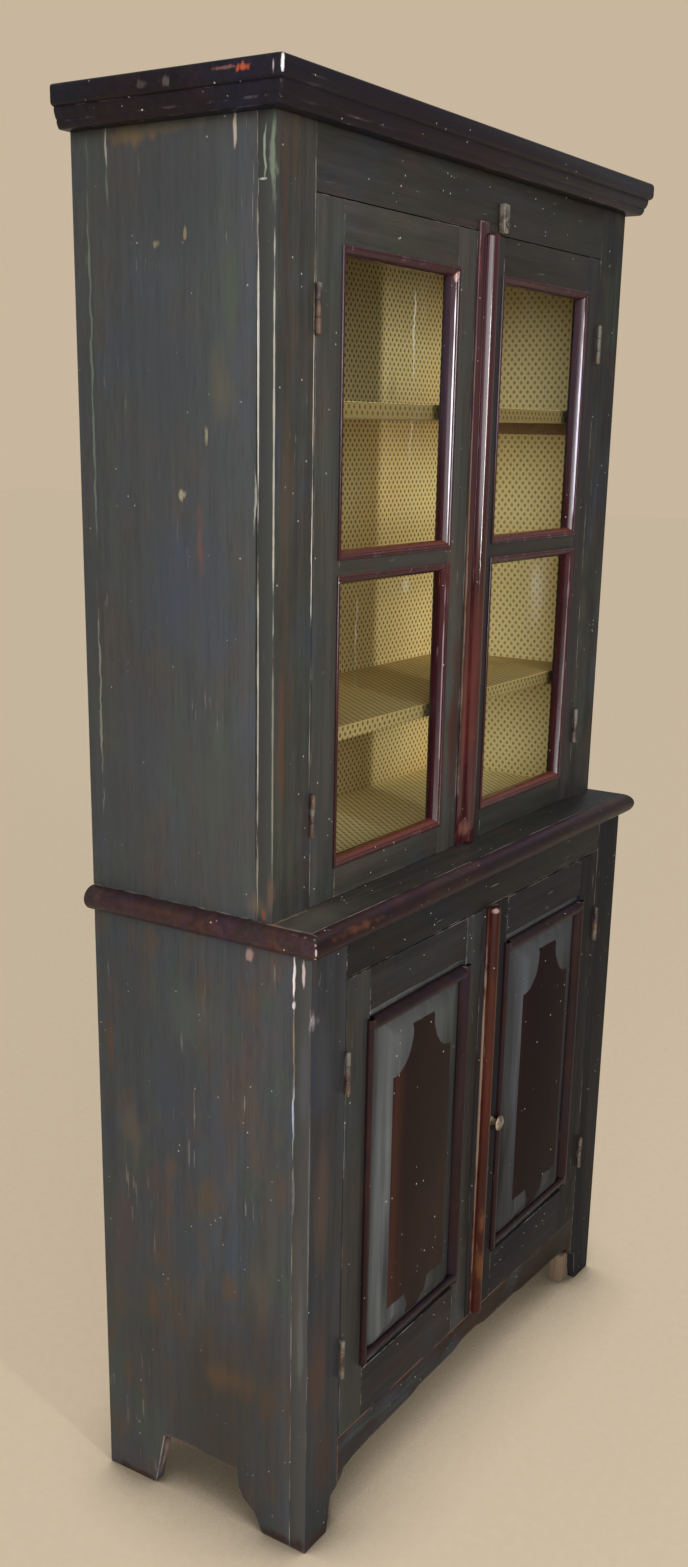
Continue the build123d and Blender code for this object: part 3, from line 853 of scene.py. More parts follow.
@dataclass(frozen=True)
class WallPaper(Finish):
    """Aged yellow paper printed with a lattice of small dots; painted light on sideways faces, the case floor and
    shelf undersides, painted shade on the shelf tops and low on the left.
    """

    ground: str = "#f6dc9c"
    warm: str = "#efc37a"
    # Colour of the painted shade on the shelf tops.
    shaded_shelf_top: str = "#c8ae76"
    # Colour of the painted light on sideways faces and the case floor.
    lit: str = "#fff0b8"
    dot: str = "#57482a"
    stain: str = "#8d7440"
    step_u: float = 14.1
    step_v: float = 16.5
    dot_radius: float = 2.7

    def make(self) -> bpy.types.Material:
        """Makes the material."""
        sheet = Sheet(self.name)
        x, y, z = sheet.parts(sheet.place)
        nx, _, nz = (abs(part) for part in sheet.parts(sheet.facing))
        side = nx.over(0.5)
        level = nz.over(0.5)
        u = (x * (1 - side) + y * side) * 1000
        v = (z * (1 - level) + y * level) * 1000
        wobble = (sheet.noise(5, shift=1.0, detail=1) - 0.5) * 6
        u = u + wobble
        near = []
        for part in (0.0, 0.5):
            du = (u + part * self.step_u).repeat(self.step_u)
            dv = (v + part * self.step_v).repeat(self.step_v)
            near.append((du * du + dv * dv * 0.72) ** 0.5)
        print_wear = sheet.noise(110, shift=3.0, detail=2)
        apart = near[0].lower_of(near[1]) + (print_wear - 0.5) * 1.1
        dots = apart.between(self.dot_radius + 0.5, self.dot_radius - 0.5)
        clouds = sheet.noise(3.0, shift=5.0, detail=5, rough=0.6)
        ground = sheet.blend(clouds.between(0.4, 0.65) * 0.5, shade(self.ground), shade(self.warm))
        # Painted shade: level faces above the case floor, the shelf tops, are darkened.
        ground = sheet.blend(level * z.between(1.1, 1.16) * 0.85, ground, shade(self.shaded_shelf_top))
        stains = sheet.noise(8.0, (1, 1, 0.4), shift=12.0, detail=5, rough=0.65).between(0.55, 0.75)
        ground = sheet.blend(stains * 0.35, ground, shade(self.stain))
        # Painted light: sideways faces and the floor of the case are lightened towards the lit colour.
        bright = side.higher_of(level * z.between(1.12, 1.1))
        ground = sheet.blend(bright * 0.85, ground, shade(self.lit))
        # Painted shade: the walls are darkened low down and to the left.
        low_left = z.between(1.62, 1.4) * (1 - level) * x.between(0.42, 0.22)
        ground = sheet.blend(low_left * 0.55, ground, shade("#b49c68"))
        # Painted light: faces turned down, the shelf undersides, are lightened against their shade.
        under = (-1 * sheet.parts(sheet.facing)[2]).over(0.5)
        ground = sheet.blend(under * 0.9, ground, shade("#f6e6bd"))
        fibres = sheet.noise(700, shift=2.0, detail=2)
        # Fewer dots on sideways faces, part of the painted light there.
        colour = sheet.blend(dots * (0.85 - side * 0.25 + (print_wear - 0.5) * 0.5), ground, shade(self.dot))
        colour = sheet.blend(0.16, colour, fibres, "OVERLAY")
        height = fibres * 0.3 + sheet.noise(14, shift=8.0, detail=3)
        normal = sheet.bump(height, 0.25, 0.002)
        return sheet.close(sheet.principled({"Base Color": colour, "Roughness": 0.86, "Normal": normal,
                                             "Specular IOR Level": 0.25}))


@dataclass(frozen=True)
class BareWood(Finish):
    """Unpainted old softwood with darker grain lines."""

    pale: str = "#9a7d58"
    dark: str = "#6d5238"
    grain: Grain = Grain.UPRIGHT

    def make(self) -> bpy.types.Material:
        """Makes the material."""
        sheet = Sheet(self.name)
        along = self.grain.value
        warp = sheet.noise(9, along, shift=2.0, detail=4)
        rings = sheet.noise(34, along, shift=7.0, detail=5, rough=0.6)
        bands = ((rings * 9 + warp * 3).math("FRACT", rings * 9 + warp * 3)).between(0.55, 1.0)
        clouds = sheet.noise(2.5, shift=4.0, detail=4)
        colour = sheet.blend(bands * 0.55, shade(self.pale), shade(self.dark))
        colour = sheet.blend(clouds.between(0.4, 0.7) * 0.5, colour, shade("#5d4a36"))
        pores = sheet.noise(420, tuple(max(a, 0.06) for a in along), shift=1.0, detail=2)
        colour = sheet.blend(0.3, colour, pores, "OVERLAY")
        normal = sheet.bump(bands * 0.3 + pores * 0.5, 0.3, 0.0012)
        rough = 0.74 + (pores - 0.5) * 0.2
        return sheet.close(sheet.principled({"Base Color": colour, "Roughness": rough, "Normal": normal}))


@dataclass(frozen=True)
class Metal(Finish):
    """Old iron, from rusty brown to dull bright."""

    base: str = "#392d2c"
    rust: str = "#5c4534"
    paint: str = "#625f57"
    metallic: float = 0.35
    rough: float = 0.6

    def make(self) -> bpy.types.Material:
        """Makes the material."""
        sheet = Sheet(self.name)
        patches = sheet.noise(55, (1, 1, 0.5), shift=6.0, detail=4, rough=0.6)
        grit = sheet.noise(600, shift=2.0, detail=3)
        colour = sheet.blend(patches.between(0.42, 0.6), shade(self.base), shade(self.rust))
        colour = sheet.blend(sheet.noise(40, (1, 1, 0.6), shift=13.0, detail=3).between(0.5, 0.62), colour,
                             shade(self.paint))
        colour = sheet.blend(0.35, colour, grit, "OVERLAY")
        normal = sheet.bump(grit, 0.35, 0.0006)
        metallic = self.metallic * (1 - patches.between(0.42, 0.6))
        rough = self.rough + (grit - 0.5) * 0.3
        return sheet.close(sheet.principled({"Base Color": colour, "Roughness": rough, "Metallic": metallic,
                                             "Normal": normal}))


@dataclass(frozen=True)
class TurnedWood(Finish):
    """A small handled wooden piece, pale where it is touched."""

    pale: str = "#a6967e"
    dark: str = "#665948"
    rough: float = 0.4
    blotch: float = 60.0
    marks: tuple[Mark, ...] = ()

    def make(self) -> bpy.types.Material:
        """Makes the material."""
        sheet = Sheet(self.name)
        blotches = sheet.noise(self.blotch, shift=3.0, detail=4, rough=0.6)
        lines = sheet.noise(300, (1, 1, 0.08), shift=9.0, detail=3)
        colour = sheet.blend(blotches.between(0.4, 0.62), shade(self.pale), shade(self.dark))
        colour = sheet.blend(0.35, colour, lines, "OVERLAY")
        edge = sheet.node("ShaderNodeAttribute", {"attribute_name": "worn_edge"}, {}, "Fac")
        colour = sheet.blend(edge * 0.3, colour, shade(self.pale))
        for mark in self.marks:
            colour = sheet.blend(mark.mask(sheet), colour, shade(mark.colour))
        normal = sheet.bump(lines + blotches, 0.25, 0.0008)
        rough = self.rough + (blotches - 0.5) * 0.3
        return sheet.close(sheet.principled({"Base Color": colour, "Roughness": rough, "Normal": normal}))


@dataclass(frozen=True)
class OldGlass(Finish):
    """Thin old window glass with a faint film and slow waves; its marks thicken the film into painted reflections."""

    film: float = 0.09
    marks: tuple[Mark, ...] = ()

    def make(self) -> bpy.types.Material:
        """Makes the material."""
        sheet = Sheet(self.name)
        waves = sheet.noise(7, (1, 1, 0.25), shift=3.0, detail=2)
        streaks = sheet.noise(20, (1, 1, 0.08), shift=8.0, detail=4, rough=0.6).between(0.5, 0.72)
        dust = sheet.noise(3.2, (1, 1, 0.5), shift=13.0, detail=4).between(0.35, 0.75)
        film = (0.25 + streaks * 0.75) * dust * self.film
        # The marks add painted reflections to the film.
        for mark in self.marks:
            film = film.higher_of(mark.mask(sheet))
        colour = sheet.blend((film * 8).lower_of(1.0), shade("#0b0b0b"), shade("#c9c7bd"))
        normal = sheet.bump(waves, 0.22, 0.004)
        glassy = sheet.principled({"Base Color": colour, "Roughness": 0.06, "Normal": normal})
        clear = sheet.node("ShaderNodeBsdfTransparent", {}, {"Color": (0.95, 0.965, 0.95, 1.0)})
        mirror = sheet.node("ShaderNodeFresnel", {}, {"IOR": 1.4, "Normal": normal})
        inside = sheet.node("ShaderNodeNewGeometry", {}, {}, "Backfacing")
        amount = ((mirror * 0.8 + film) * (1 - inside)).lower_of(1.0)
        return sheet.close(sheet.node("ShaderNodeMixShader", {}, {0: amount, 1: clear, 2: glassy}))


@dataclass(frozen=True)
class StudioPaper(Finish):
    """Seamless pale paper for the floor; the camera sees a softened shadow on it, deepened near the cabinet by a
    painted contact shadow.
    """

    colour: str = "#d3c0a4"
    paper: str = "#f4e2c8"
    shadow: str = "#30291f"
    kept_shadow: float = 0.36

    def make(self) -> bpy.types.Material:
        """Makes the material."""
        sheet = Sheet(self.name)
        mottle = sheet.noise(55, shift=2.0, detail=4, rough=0.7)
        # Painted contact shadow: ambient occlusion near the cabinet darkens the floor's colour, on top of the lamps'
        # real shadow.
        near = sheet.node("ShaderNodeAmbientOcclusion", {"samples": 8}, {"Distance": 0.24}, "AO")
        painted_contact_shadow = near.between(0.9, 0.35) * 0.9
        seen = sheet.blend(painted_contact_shadow, sheet.blend(0.10, shade(self.colour), mottle, "OVERLAY"), shade(self.shadow))
        paper = sheet.blend(painted_contact_shadow, sheet.blend(0.10, shade(self.paper), mottle, "OVERLAY"), shade(self.shadow))
        normal = sheet.bump(mottle, 0.1, 0.002)
        lit = sheet.principled({"Base Color": paper, "Roughness": 0.95, "Normal": normal,
                                "Specular IOR Level": 0.1})
        glow = sheet.node("ShaderNodeEmission", {}, {"Color": seen, "Strength": 1.0})
        camera_ray = sheet.node("ShaderNodeLightPath", {}, {}, "Is Camera Ray")
        return sheet.close(sheet.node("ShaderNodeMixShader", {},
                                      {0: camera_ray * (1 - self.kept_shadow), 1: lit, 2: glow}))


# Marks that the photograph shows on the case, in millimetres.
SIDE_X = -533.5
SIDE_MARKS = (
    Mark((SIDE_X, 40, 2010), (30, 200, 120), "#3d3f40", 0.4, 1.0, 0.6, 14),
    Mark((SIDE_X, 30, 1480), (30, 100, 130), "#444b58", 0.5, 1.0, 0.9, 14),
    Mark((SIDE_X, 120, 1250), (30, 70, 130), "#4b4a52", 0.45, 1.0, 0.9, 14),
    Mark((SIDE_X, -20, 1230), (30, 60, 110), "#4d5047", 0.5, 1.0, 0.9, 14),
    Mark((SIDE_X, 60, 1790), (30, 90, 120), "#43474c", 0.5, 1.0, 0.9, 14),
    Mark((SIDE_X, -40, 1760), (30, 26, 70), "#5d584a", 0.6, 0.9, 0.9, 40),
    Mark((SIDE_X, -55, 1865), (30, 16, 90), "#4c5447", 0.6, 0.9, 0.9, 40),
    Mark((SIDE_X, 0, 1560), (30, 8, 70), "#6a4d48", 0.7, 0.9, 1.0, 60, wander=6),
    Mark((SIDE_X, 108, 2070), (30, 62, 16), "#6f5b41", 0.85, 0.8, 1.0, 60),
    Mark((SIDE_X, 60, 2074), (30, 130, 9), "#5c5548", 0.7, 0.9, 0.9, 50),
    Mark((SIDE_X, 152, 2058), (30, 2.2, 30), "#a9a99c", 0.7, 0.5, 0.8, wander=4),
    Mark((SIDE_X, 150, 2010), (30, 2.2, 36), "#6d7468", 0.7, 0.7, 0.7, wander=6),
    Mark((SIDE_X, 186, 1780), (30, 2.6, 330), "#6f7a6c", 0.75, 0.6, 0.8, 60, wander=5),
    Mark((SIDE_X, 188, 1330), (30, 2.4, 200), "#8a8a7c", 0.8, 0.6, 0.9, 60, wander=5),
    Mark((SIDE_X, -61, 2064), (30, 3.4, 22), "#b5a597", 0.85, 0.6, 0.8, wander=5),
    Mark((SIDE_X, 69, 1937), (30, 6, 6), "#8f8267", 0.8, 0.8, 1.2, 140),
    Mark((SIDE_X, 20, 1947), (30, 3, 9), "#8f8267", 0.7, 0.8, 1.2, 140),
    Mark((SIDE_X, -12, 1700), (30, 4, 13), "#938a70", 0.8, 0.8, 1.3, 140),
    Mark((SIDE_X, 31, 1622), (30, 7, 8), "#a2977a", 0.8, 0.8, 1.3, 140),
)
JOINT_MARKS = (
    Mark((SIDE_X, -119, 1075), (8, 6, 44), "#6b5145", 0.75, 0.9, 1.0, 60),
    Mark((SIDE_X, -108, 1049), (8, 6, 9), "#8a4a40", 0.85, 0.8, 1.1, 90),
    Mark((SIDE_X, -100, 1060), (8, 26, 26), "#6a5c4c", 0.7, 1.0, 1.0, 40),
    Mark((SIDE_X, -94.2, 1480), (6, 1.3, 520), "#141311", 0.9, 0.4, 0.5, 60),
    Mark((SIDE_X, -97, 1790), (6, 1.9, 215), "#dcd8cf", 1.0, 0.35, 0.5, 60),
    Mark((SIDE_X, -97, 1360), (6, 1.7, 205), "#cbc5b9", 1.0, 0.4, 0.7, 60),
    Mark((SIDE_X, -91, 1615), (6, 2.4, 48), "#9c9a8c", 0.9, 0.5, 0.9, 90, wander=8),
    Mark((SIDE_X, -97, 1110), (6, 1.5, 60), "#a29c90", 0.9, 0.4, 0.7, 60),
    Mark((SIDE_X, -104, 2004), (6, 8, 2.2), "#b9bcae", 0.9, 0.5, 0.7, 120),
    Mark((SIDE_X, -109, 2038), (8, 2.4, 34), "#9aa392", 0.9, 0.5, 0.8, 90, wander=10),
    Mark((SIDE_X, -119, 2024), (8, 5, 56), "#76806f", 0.85, 0.7, 1.0, 90, wander=8),
    Mark((SIDE_X, -122.25, 1700), (2.4, 2.4, 300), "#a9a59a", 0.9, 0.5, 0.7, 60),
    Mark((SIDE_X, -122.25, 1250), (2.4, 2.4, 200), "#7f7c72", 0.9, 0.6, 0.8, 60),
)
LOWER_CORNER_MARKS = (
    Mark((SIDE_X, -162, 966), (30, 2.8, 34), "#e6d9d6", 1.0, 0.4, 0.6, 90, wander=4),
    Mark((SIDE_X, -178, 974), (30, 3.2, 27), "#c9b3ae", 0.95, 0.5, 0.7, 90, wander=5),
    Mark((SIDE_X, -161, 924), (30, 4.4, 9), "#d8cbc6", 0.95, 0.5, 0.7, 90),
    Mark((SIDE_X, -162, 860), (30, 2.0, 62), "#8f7a62", 0.9, 0.5, 0.6, 60, wander=3),
    Mark((SIDE_X, -162, 760), (30, 2.0, 66), "#a9adbd", 0.95, 0.4, 0.5, 60, wander=3),
    Mark((SIDE_X, -163, 640), (30, 1.8, 60), "#7b7d80", 0.8, 0.5, 0.7, 60, wander=4),
    Mark((SIDE_X, -189, 903), (30, 3, 26), "#94898a", 0.7, 0.8, 1.0, 90, wander=5),
    Mark((SIDE_X, -178, 380), (30, 8, 110), "#6f7478", 0.35, 0.9, 0.8, 50),
    Mark((SIDE_X, -191, 620), (2.4, 2.4, 190), "#706b64", 0.5, 0.7, 1.0, 60),
    Mark((SIDE_X, -172, 480), (30, 17, 240), "#5d554b", 0.35, 1.0, 0.9, 22),
    Mark((SIDE_X, -180, 800), (30, 12, 120), "#56545a", 0.5, 1.0, 0.9, 22),
)
LOWER_SIDE_MARKS = (
    Mark((SIDE_X, 150, 640), (30, 34, 70), "#62574a", 0.7, 1.0, 1.1, 26),
    Mark((SIDE_X, 100, 560), (30, 30, 60), "#4b3f42", 0.6, 1.0, 1.0, 24),
    Mark((SIDE_X, 170, 450), (30, 40, 90), "#4f4142", 0.6, 1.0, 1.0, 24),
    Mark((SIDE_X, 60, 330), (30, 50, 60), "#554539", 0.6, 1.0, 1.1, 22),
    Mark((SIDE_X, -110, 420), (30, 30, 90), "#5b5046", 0.6, 1.0, 1.0, 24),
    Mark((SIDE_X, -130, 560), (30, 26, 110), "#504c48", 0.6, 1.0, 1.0, 24),
    Mark((SIDE_X, 30, 860), (30, 80, 60), "#505450", 0.5, 1.0, 0.9, 18),
    Mark((-519, 90, 52), (12, 26, 56), "#9c8076", 0.75, 0.8, 0.9, 60),
    Mark((SIDE_X, 0, 210), (30, 300, 300), "#393229", 0.6, 1.0, 0.5, 12),
    Mark((SIDE_X, 66, 604), (30, 22, 34), "#5e4a38", 0.7, 1.0, 1.1, 26),
    Mark((SIDE_X, -1, 574), (30, 18, 48), "#57483a", 0.65, 1.0, 1.1, 26),
    Mark((SIDE_X, 112, 360), (30, 20, 55), "#584534", 0.65, 1.0, 1.1, 24),
    Mark((SIDE_X, -47, 430), (30, 24, 40), "#5a4738", 0.7, 1.0, 1.1, 26),
    Mark((SIDE_X, -40, 262), (30, 70, 44), "#5a4635", 0.75, 1.0, 1.0, 22),
    Mark((SIDE_X, -120, 250), (30, 26, 50), "#4f4034", 0.75, 1.0, 1.0, 26),
    Mark((SIDE_X, -76, 790), (30, 9, 60), "#5e463a", 0.6, 0.9, 1.0, 34, wander=8),
    Mark((SIDE_X, 188, 790), (30, 14, 60), "#5f4636", 0.7, 1.0, 1.1, 26),
    Mark((SIDE_X, 90, 720), (30, 70, 90), "#41454d", 0.5, 1.0, 1.0, 22),
    Mark((SIDE_X, -20, 680), (30, 40, 130), "#44474f", 0.5, 1.0, 1.0, 22),
    Mark((SIDE_X, 40, 480), (30, 60, 120), "#40434b", 0.45, 1.0, 1.0, 22),
    Mark((SIDE_X, -84, 986), (30, 9, 13), "#a8877f", 0.7, 0.5, 0.8, 120),
    Mark((SIDE_X, 87, 60), (40, 4, 44), "#8a6a60", 0.85, 0.6, 0.8, 70),
    Mark((SIDE_X, 60, 104), (40, 50, 3.5), "#6d5148", 0.8, 0.6, 0.8, 70),
    Mark((SIDE_X, 150, 4), (60, 80, 10), "#3c2722", 0.8, 0.8, 0.8, 60),
    Mark((SIDE_X, -150, 6), (60, 60, 14), "#38241f", 0.8, 0.8, 0.8, 60),
)
LEFT_STILE_MARKS = (
    Mark((-512, -122, 1980), (16, 10, 90), "#4a3327", 0.8, 1.0, 1.1, 26),
    Mark((-505, -122, 1560), (22, 10, 380), "#4b3d31", 0.6, 1.0, 1.1, 18),
    Mark((-514, -122, 1300), (12, 10, 170), "#543a30", 0.6, 1.0, 1.1, 22),
    Mark((-444, -122, 1800), (1.6, 8, 250), "#b9b3a8", 0.9, 0.5, 0.7, 60, wander=2),
    Mark((-444, -122, 1560), (2.2, 8, 120), "#d2cdc2", 0.9, 0.5, 0.8, 60, wander=2),
    Mark((-444, -122, 1280), (1.4, 8, 120), "#8d877c", 0.8, 0.5, 0.8, 60, wander=2),
    Mark((-500, -191, 820), (26, 10, 120), "#39393c", 0.6, 1.0, 1.0, 24),
    Mark((-498, -191, 600), (30, 10, 160), "#4a3a31", 0.6, 1.0, 1.1, 20),
    Mark((-505, -191, 300), (30, 10, 160), "#463127", 0.6, 1.0, 1.1, 20),
    Mark((-480, -191, 150), (30, 10, 80), "#3a2a24", 0.7, 1.0, 1.1, 22),
    Mark((-510, -191, 10), (50, 60, 16), "#38241f", 0.8, 0.8, 0.8, 60),
)
# The long thin pale lines along the glazing beads' crowns are painted highlights over partly rubbed paint.
GLAZING_HIGHLIGHT_MARKS = (
    Mark((-69.8, -122, 1735), (1.0, 6, 205), "#e6dcec", 0.95, 0.4, 0.4, 60),
    Mark((-70.0, -123, 1928), (3.0, 6, 9), "#b08a80", 0.9, 0.6, 0.8, 120),
    Mark((386.2, -122, 1735), (1.3, 6, 205), "#cfc6de", 0.9, 0.4, 0.4, 60),
    Mark((-69.8, -122, 1320), (0.9, 6, 190), "#9c8488", 0.7, 0.5, 0.7, 60),
    Mark((386.2, -122, 1320), (1.1, 6, 190), "#8a7a80", 0.6, 0.5, 0.7, 60),
)
# Painted reflections: pale streaks and patches that thicken the film on the glass.
GLASS_REFLECTION_MARKS = (
    Mark((-158, -115, 1835), (3.4, 30, 90), "#ffffff", 0.42, 0.7, 0.7, 60, wander=12),
    Mark((-160, -115, 1700), (3.4, 30, 70), "#ffffff", 0.2, 0.8, 0.7, 60, wander=12),
    Mark((-300, -115, 1440), (3.0, 30, 90), "#ffffff", 0.25, 0.7, 0.7, 60, wander=12),
    Mark((-170, -115, 1480), (30, 30, 22), "#ffffff", 0.16, 0.9, 1.2, 60),
    Mark((285, -115, 1450), (90, 30, 110), "#dfe6ff", 0.14, 1.0, 0.9, 14),
)


@dataclass(frozen=True)
class Finishes:
    """All the finishes, named for the places that they cover."""

    upper_side: Finish = WornPaint("upper_side_paint", base="#494a4a", cloud="#474c51", stain="#4e483e",
                                   cool="#474c5a", green="#4b524a", warm="#534a44", staining=0.3, patching=0.5,
                                   speckling=0.4, streaking=0.13, edge=0.5, marks=SIDE_MARKS + JOINT_MARKS)
    lower_side: Finish = WornPaint("lower_side_paint", base="#454748", cloud="#47444a", stain="#5b4837",
                                   cool="#404853", green="#444d43", warm="#54463c", staining=0.45, patching=0.72,
                                   patch_detail=1.35, clouding=0.6, streaking=0.15, edge=0.6,
                                   marks=LOWER_SIDE_MARKS + LOWER_CORNER_MARKS)
    far_side: Finish = WornPaint("far_side_paint", base="#454747", cloud="#434a4e", stain="#4d3f33",
                                 cool="#434a57", green="#464c44", warm="#51453b", staining=0.5, patching=0.6,
                                 edge=0.55)
    # Left-turned faces are lightened: painted light.
    left_stile: Finish = WornPaint("left_stile_paint", base="#373632", cloud="#353633", stain="#3e3228",
                                   left_painted_light="#454644", tone=0.8, marks=LEFT_STILE_MARKS + JOINT_MARKS)
    # Darker copy of the left stile's paint for the lower case: painted shade, the light falling off downwards; its
    # lighter left-turned faces are painted light.
    lower_left_stile_shaded: Finish = WornPaint("lower_left_stile_shaded_paint", base="#2f2f32", cloud="#2d2f33",
                                         stain="#362c28", cool="#29303e", green="#29302d", warm="#332b28",
                                         left_painted_light="#4b4a48", tone=0.85,
                                         marks=LEFT_STILE_MARKS + LOWER_CORNER_MARKS)
    # Darker copy for the right-hand stile: painted shade, the light falling off to the right.
    right_stile_shaded: Finish = WornPaint("right_stile_shaded_paint", shine=0.04, base="#2e2d2c", cloud="#2d2e2c", stain="#312b29")
    # Darker still for the lower right-hand stile: painted shade.
    lower_right_stile_shaded: Finish = WornPaint("lower_right_stile_shaded_paint", base="#242324", cloud="#242325",
                                          stain="#252424", cool="#242427", green="#242424", warm="#252424",
                                          shine=0.015)
    upper_rail: Finish = WornPaint("upper_rail_paint", base="#2f2c28", cloud="#30302e", stain="#3b2e26",
                                   cool="#2d3139", green="#2d312a", warm="#3b2e27", grain=Grain.ACROSS,
                                  # Darker over the right half: painted shade, the light falling off to the right.
                                  marks=(Mark((330, -122, 2030), (330, 20, 90), "#211f1b", 0.4, 1.0, 0.4, 14),))
    lower_rail: Finish = WornPaint("lower_rail_paint", base="#201e1e", cloud="#202123", shine=0.07, stain="#251e18",
                                   cool="#1d2229", green="#1d221e", warm="#271e1a", grain=Grain.ACROSS)
    apron: Finish = WornPaint("apron_paint", base="#29221c", cloud="#272622", bare="#7a5044", stain="#39221c",
                              shine=0.07,
                              warm="#3a221c", grain=Grain.ACROSS, staining=0.8, edge=0.7,
                             # Darker over the right half: painted shade, the light falling off to the right.
                             marks=(Mark((330, -191, 110), (300, 30, 90), "#0c0907", 0.75, 1.0, 0.4, 14),))
    ledge: Finish = WornPaint("ledge_paint", base="#37312d", cloud="#343633", stain="#4b382b",
                              cool="#373a42", green="#363c37", warm="#4b382d", grain=Grain.ACROSS,
                              speckling=1.0, edge=0.6,
                                  # Lighter at the left end and darker over the right half: painted light falling off
                                  # to the right.
                                  marks=(Mark((-500, -160, 1038), (150, 60, 20), "#56524a", 0.85, 1.0, 0.6, 14),
                                         Mark((380, -160, 1038), (260, 70, 20), "#252723", 0.6, 1.0, 0.4, 14),
                                         Mark((-535, -120, 1038), (20, 16, 8), "#8b5a4c", 0.8, 0.8, 1.1, 60),
                                         Mark((-490, -124, 1038), (60, 4, 8), "#7d6a5c", 0.8, 0.8, 1.0, 60)))
    upper_left_door: Finish = WornPaint("upper_left_door_paint", base="#3d3c38", cloud="#3a3d3e", stain="#443a30",
                                        patching=0.4, edge=0.45,
                                        # Reddish darkening beside the astragal: partly painted shade, partly wear.
                                        marks=(Mark((-28, -122, 1260), (22, 20, 210), "#402721", 0.9, 0.8, 0.8,
                                                    40),))
    # Darker copy for the upper right door: painted shade, the light falling off to the right.
    upper_right_door: Finish = WornPaint("upper_right_door_shaded_paint", shine=0.05, base="#312e2e", cloud="#312f31",
                                         stain="#342d2c", cool="#303138", green="#31312f", warm="#342e2c",
                                         patching=0.4, edge=0.45)
    upper_door_rail: Finish = WornPaint("upper_door_rail_paint", base="#393530", cloud="#393b38",
                                        stain="#463a30", cool="#373f46", green="#383f35", warm="#453930",
                                        grain=Grain.ACROSS, patching=0.4, edge=0.45)
    # Darker copy for the upper right door's rails: painted shade.
    upper_right_rails: Finish = WornPaint("upper_right_rail_shaded_paint", base="#2d2925", cloud="#2d2e2c",
                                        stain="#372d25", cool="#2b3037", green="#2c302a", warm="#362c25",
                                        grain=Grain.ACROSS, patching=0.4, edge=0.45)
    lower_left_door: Finish = WornPaint("lower_left_door_paint", base="#302f2d", cloud="#2f3334", stain="#3a3028",
                                        cool="#2e373e", green="#303730", warm="#3b3028", patching=0.5, edge=0.45,
                                        marks=(Mark((-34, -191, 560), (44, 20, 430), "#11100f", 0.6, 0.6, 0.4,
                                                    20),))
    # Darker copy for the lower right door: painted shade, the light falling off to the right.
    lower_right_door: Finish = WornPaint("lower_right_door_shaded_paint", base="#242222", cloud="#242324",
                                         shine=0.02, stain="#292322", cool="#242528", green="#242523", warm="#292422",
                                         patching=0.4, edge=0.4)
    lower_left_rails: Finish = WornPaint("lower_left_rail_paint", base="#272425", cloud="#262829",
                                         shine=0.07, stain="#322621", cool="#262b32", green="#272c27", warm="#322421",
                                         grain=Grain.ACROSS, patching=0.5, edge=0.45)
    # Darker copy for the lower right door's rails: painted shade.
    lower_right_rails: Finish = WornPaint("lower_right_rail_shaded_paint", base="#272426", cloud="#272628",
                                          shine=0.02, stain="#2b2625", cool="#26272e", green="#272728", warm="#2b2625",
                                          grain=Grain.ACROSS, patching=0.4, edge=0.4)
    # Front faces are darkened: painted shade.
    cornice: Finish = WornPaint(
        "cornice_maroon", base="#211a1f", cloud="#1e1e28", stain="#291f1f", bare="#7b6b69", cool="#1e2135",
        green="#1d2123", warm="#2e2122", deep="#0c090a", grain=Grain.ACROSS, speckling=0.8, edge=0.3,
        front_painted_shade="#150b0d", tone=0.55, rough=0.36, shine=0.18,
        marks=(Mark((-569.5, -100, 2122), (20, 15, 6), "#b0502f", 0.95, 0.7, 1.3, 150),
               Mark((-569.5, -78, 2124), (20, 30, 2.4), "#7d5450", 0.75, 0.8, 1.2, 150),
               # White marks on the near corner: a painted highlight over worn paint.
               Mark((-569.5, -158, 2120), (5, 2.8, 15), "#ece6e8", 0.9, 0.5, 1.0, 120),
               Mark((-566, -154, 2094), (9, 5, 8), "#cfc3c6", 0.9, 0.6, 0.9, 120),
               Mark((-566, -145, 2118), (9, 2, 10), "#b9a8ac", 0.8, 0.6, 1.0, 120),
               Mark((-569.5, 20, 2118), (8, 9, 7), "#5f5350", 0.7, 0.6, 1.5, 150),
               Mark((-569.5, 60, 2118), (8, 9, 5), "#4f4644", 0.7, 0.6, 1.5, 150)))
    # Front faces are darkened: painted shade.
    waist: Finish = WornPaint(
        "waist_maroon", base="#402c2d", cloud="#3e2d3d", stain="#573f34", bare="#a58b83", cool="#3a3452",
        green="#3a382d", warm="#5e3d2d", deep="#150d0c", grain=Grain.ACROSS, speckling=0.8, staining=0.9,
        edge=0.5, front_painted_shade="#170c0b", tone=0.8, rough=0.4, shine=0.14,
        # Pale marks up the rounded near corner: a painted highlight.
        marks=(Mark((-554.5, -212.3, 1019), (2, 2, 14), "#c5aeae", 0.8, 0.6, 0.3, 60),
               Mark((-551, -208.8, 1030), (2.2, 2.2, 10), "#b49c98", 0.75, 0.7, 0.3, 60),
               Mark((-545, -203, 1036), (2.4, 2.4, 4), "#a89088", 0.8, 0.6, 0.7, 120),
               Mark((-551, -208.8, 1008), (2.2, 2.2, 10), "#c5aeae", 0.8, 0.7, 0.3, 60),
               Mark((-536, -150, 1038), (2.2, 62, 4), "#a08878", 0.85, 0.6, 0.6, 60),
               Mark((-552, -178, 1036), (8, 30, 3), "#b79a92", 0.8, 0.7, 0.9, 90),
               Mark((-552, 60, 1027), (10, 90, 8), "#5c3a2c", 0.6, 1.0, 0.8, 30),
               Mark((-440, -209, 1026), (90, 8, 8), "#5d3a25", 0.8, 0.9, 0.9, 50)))
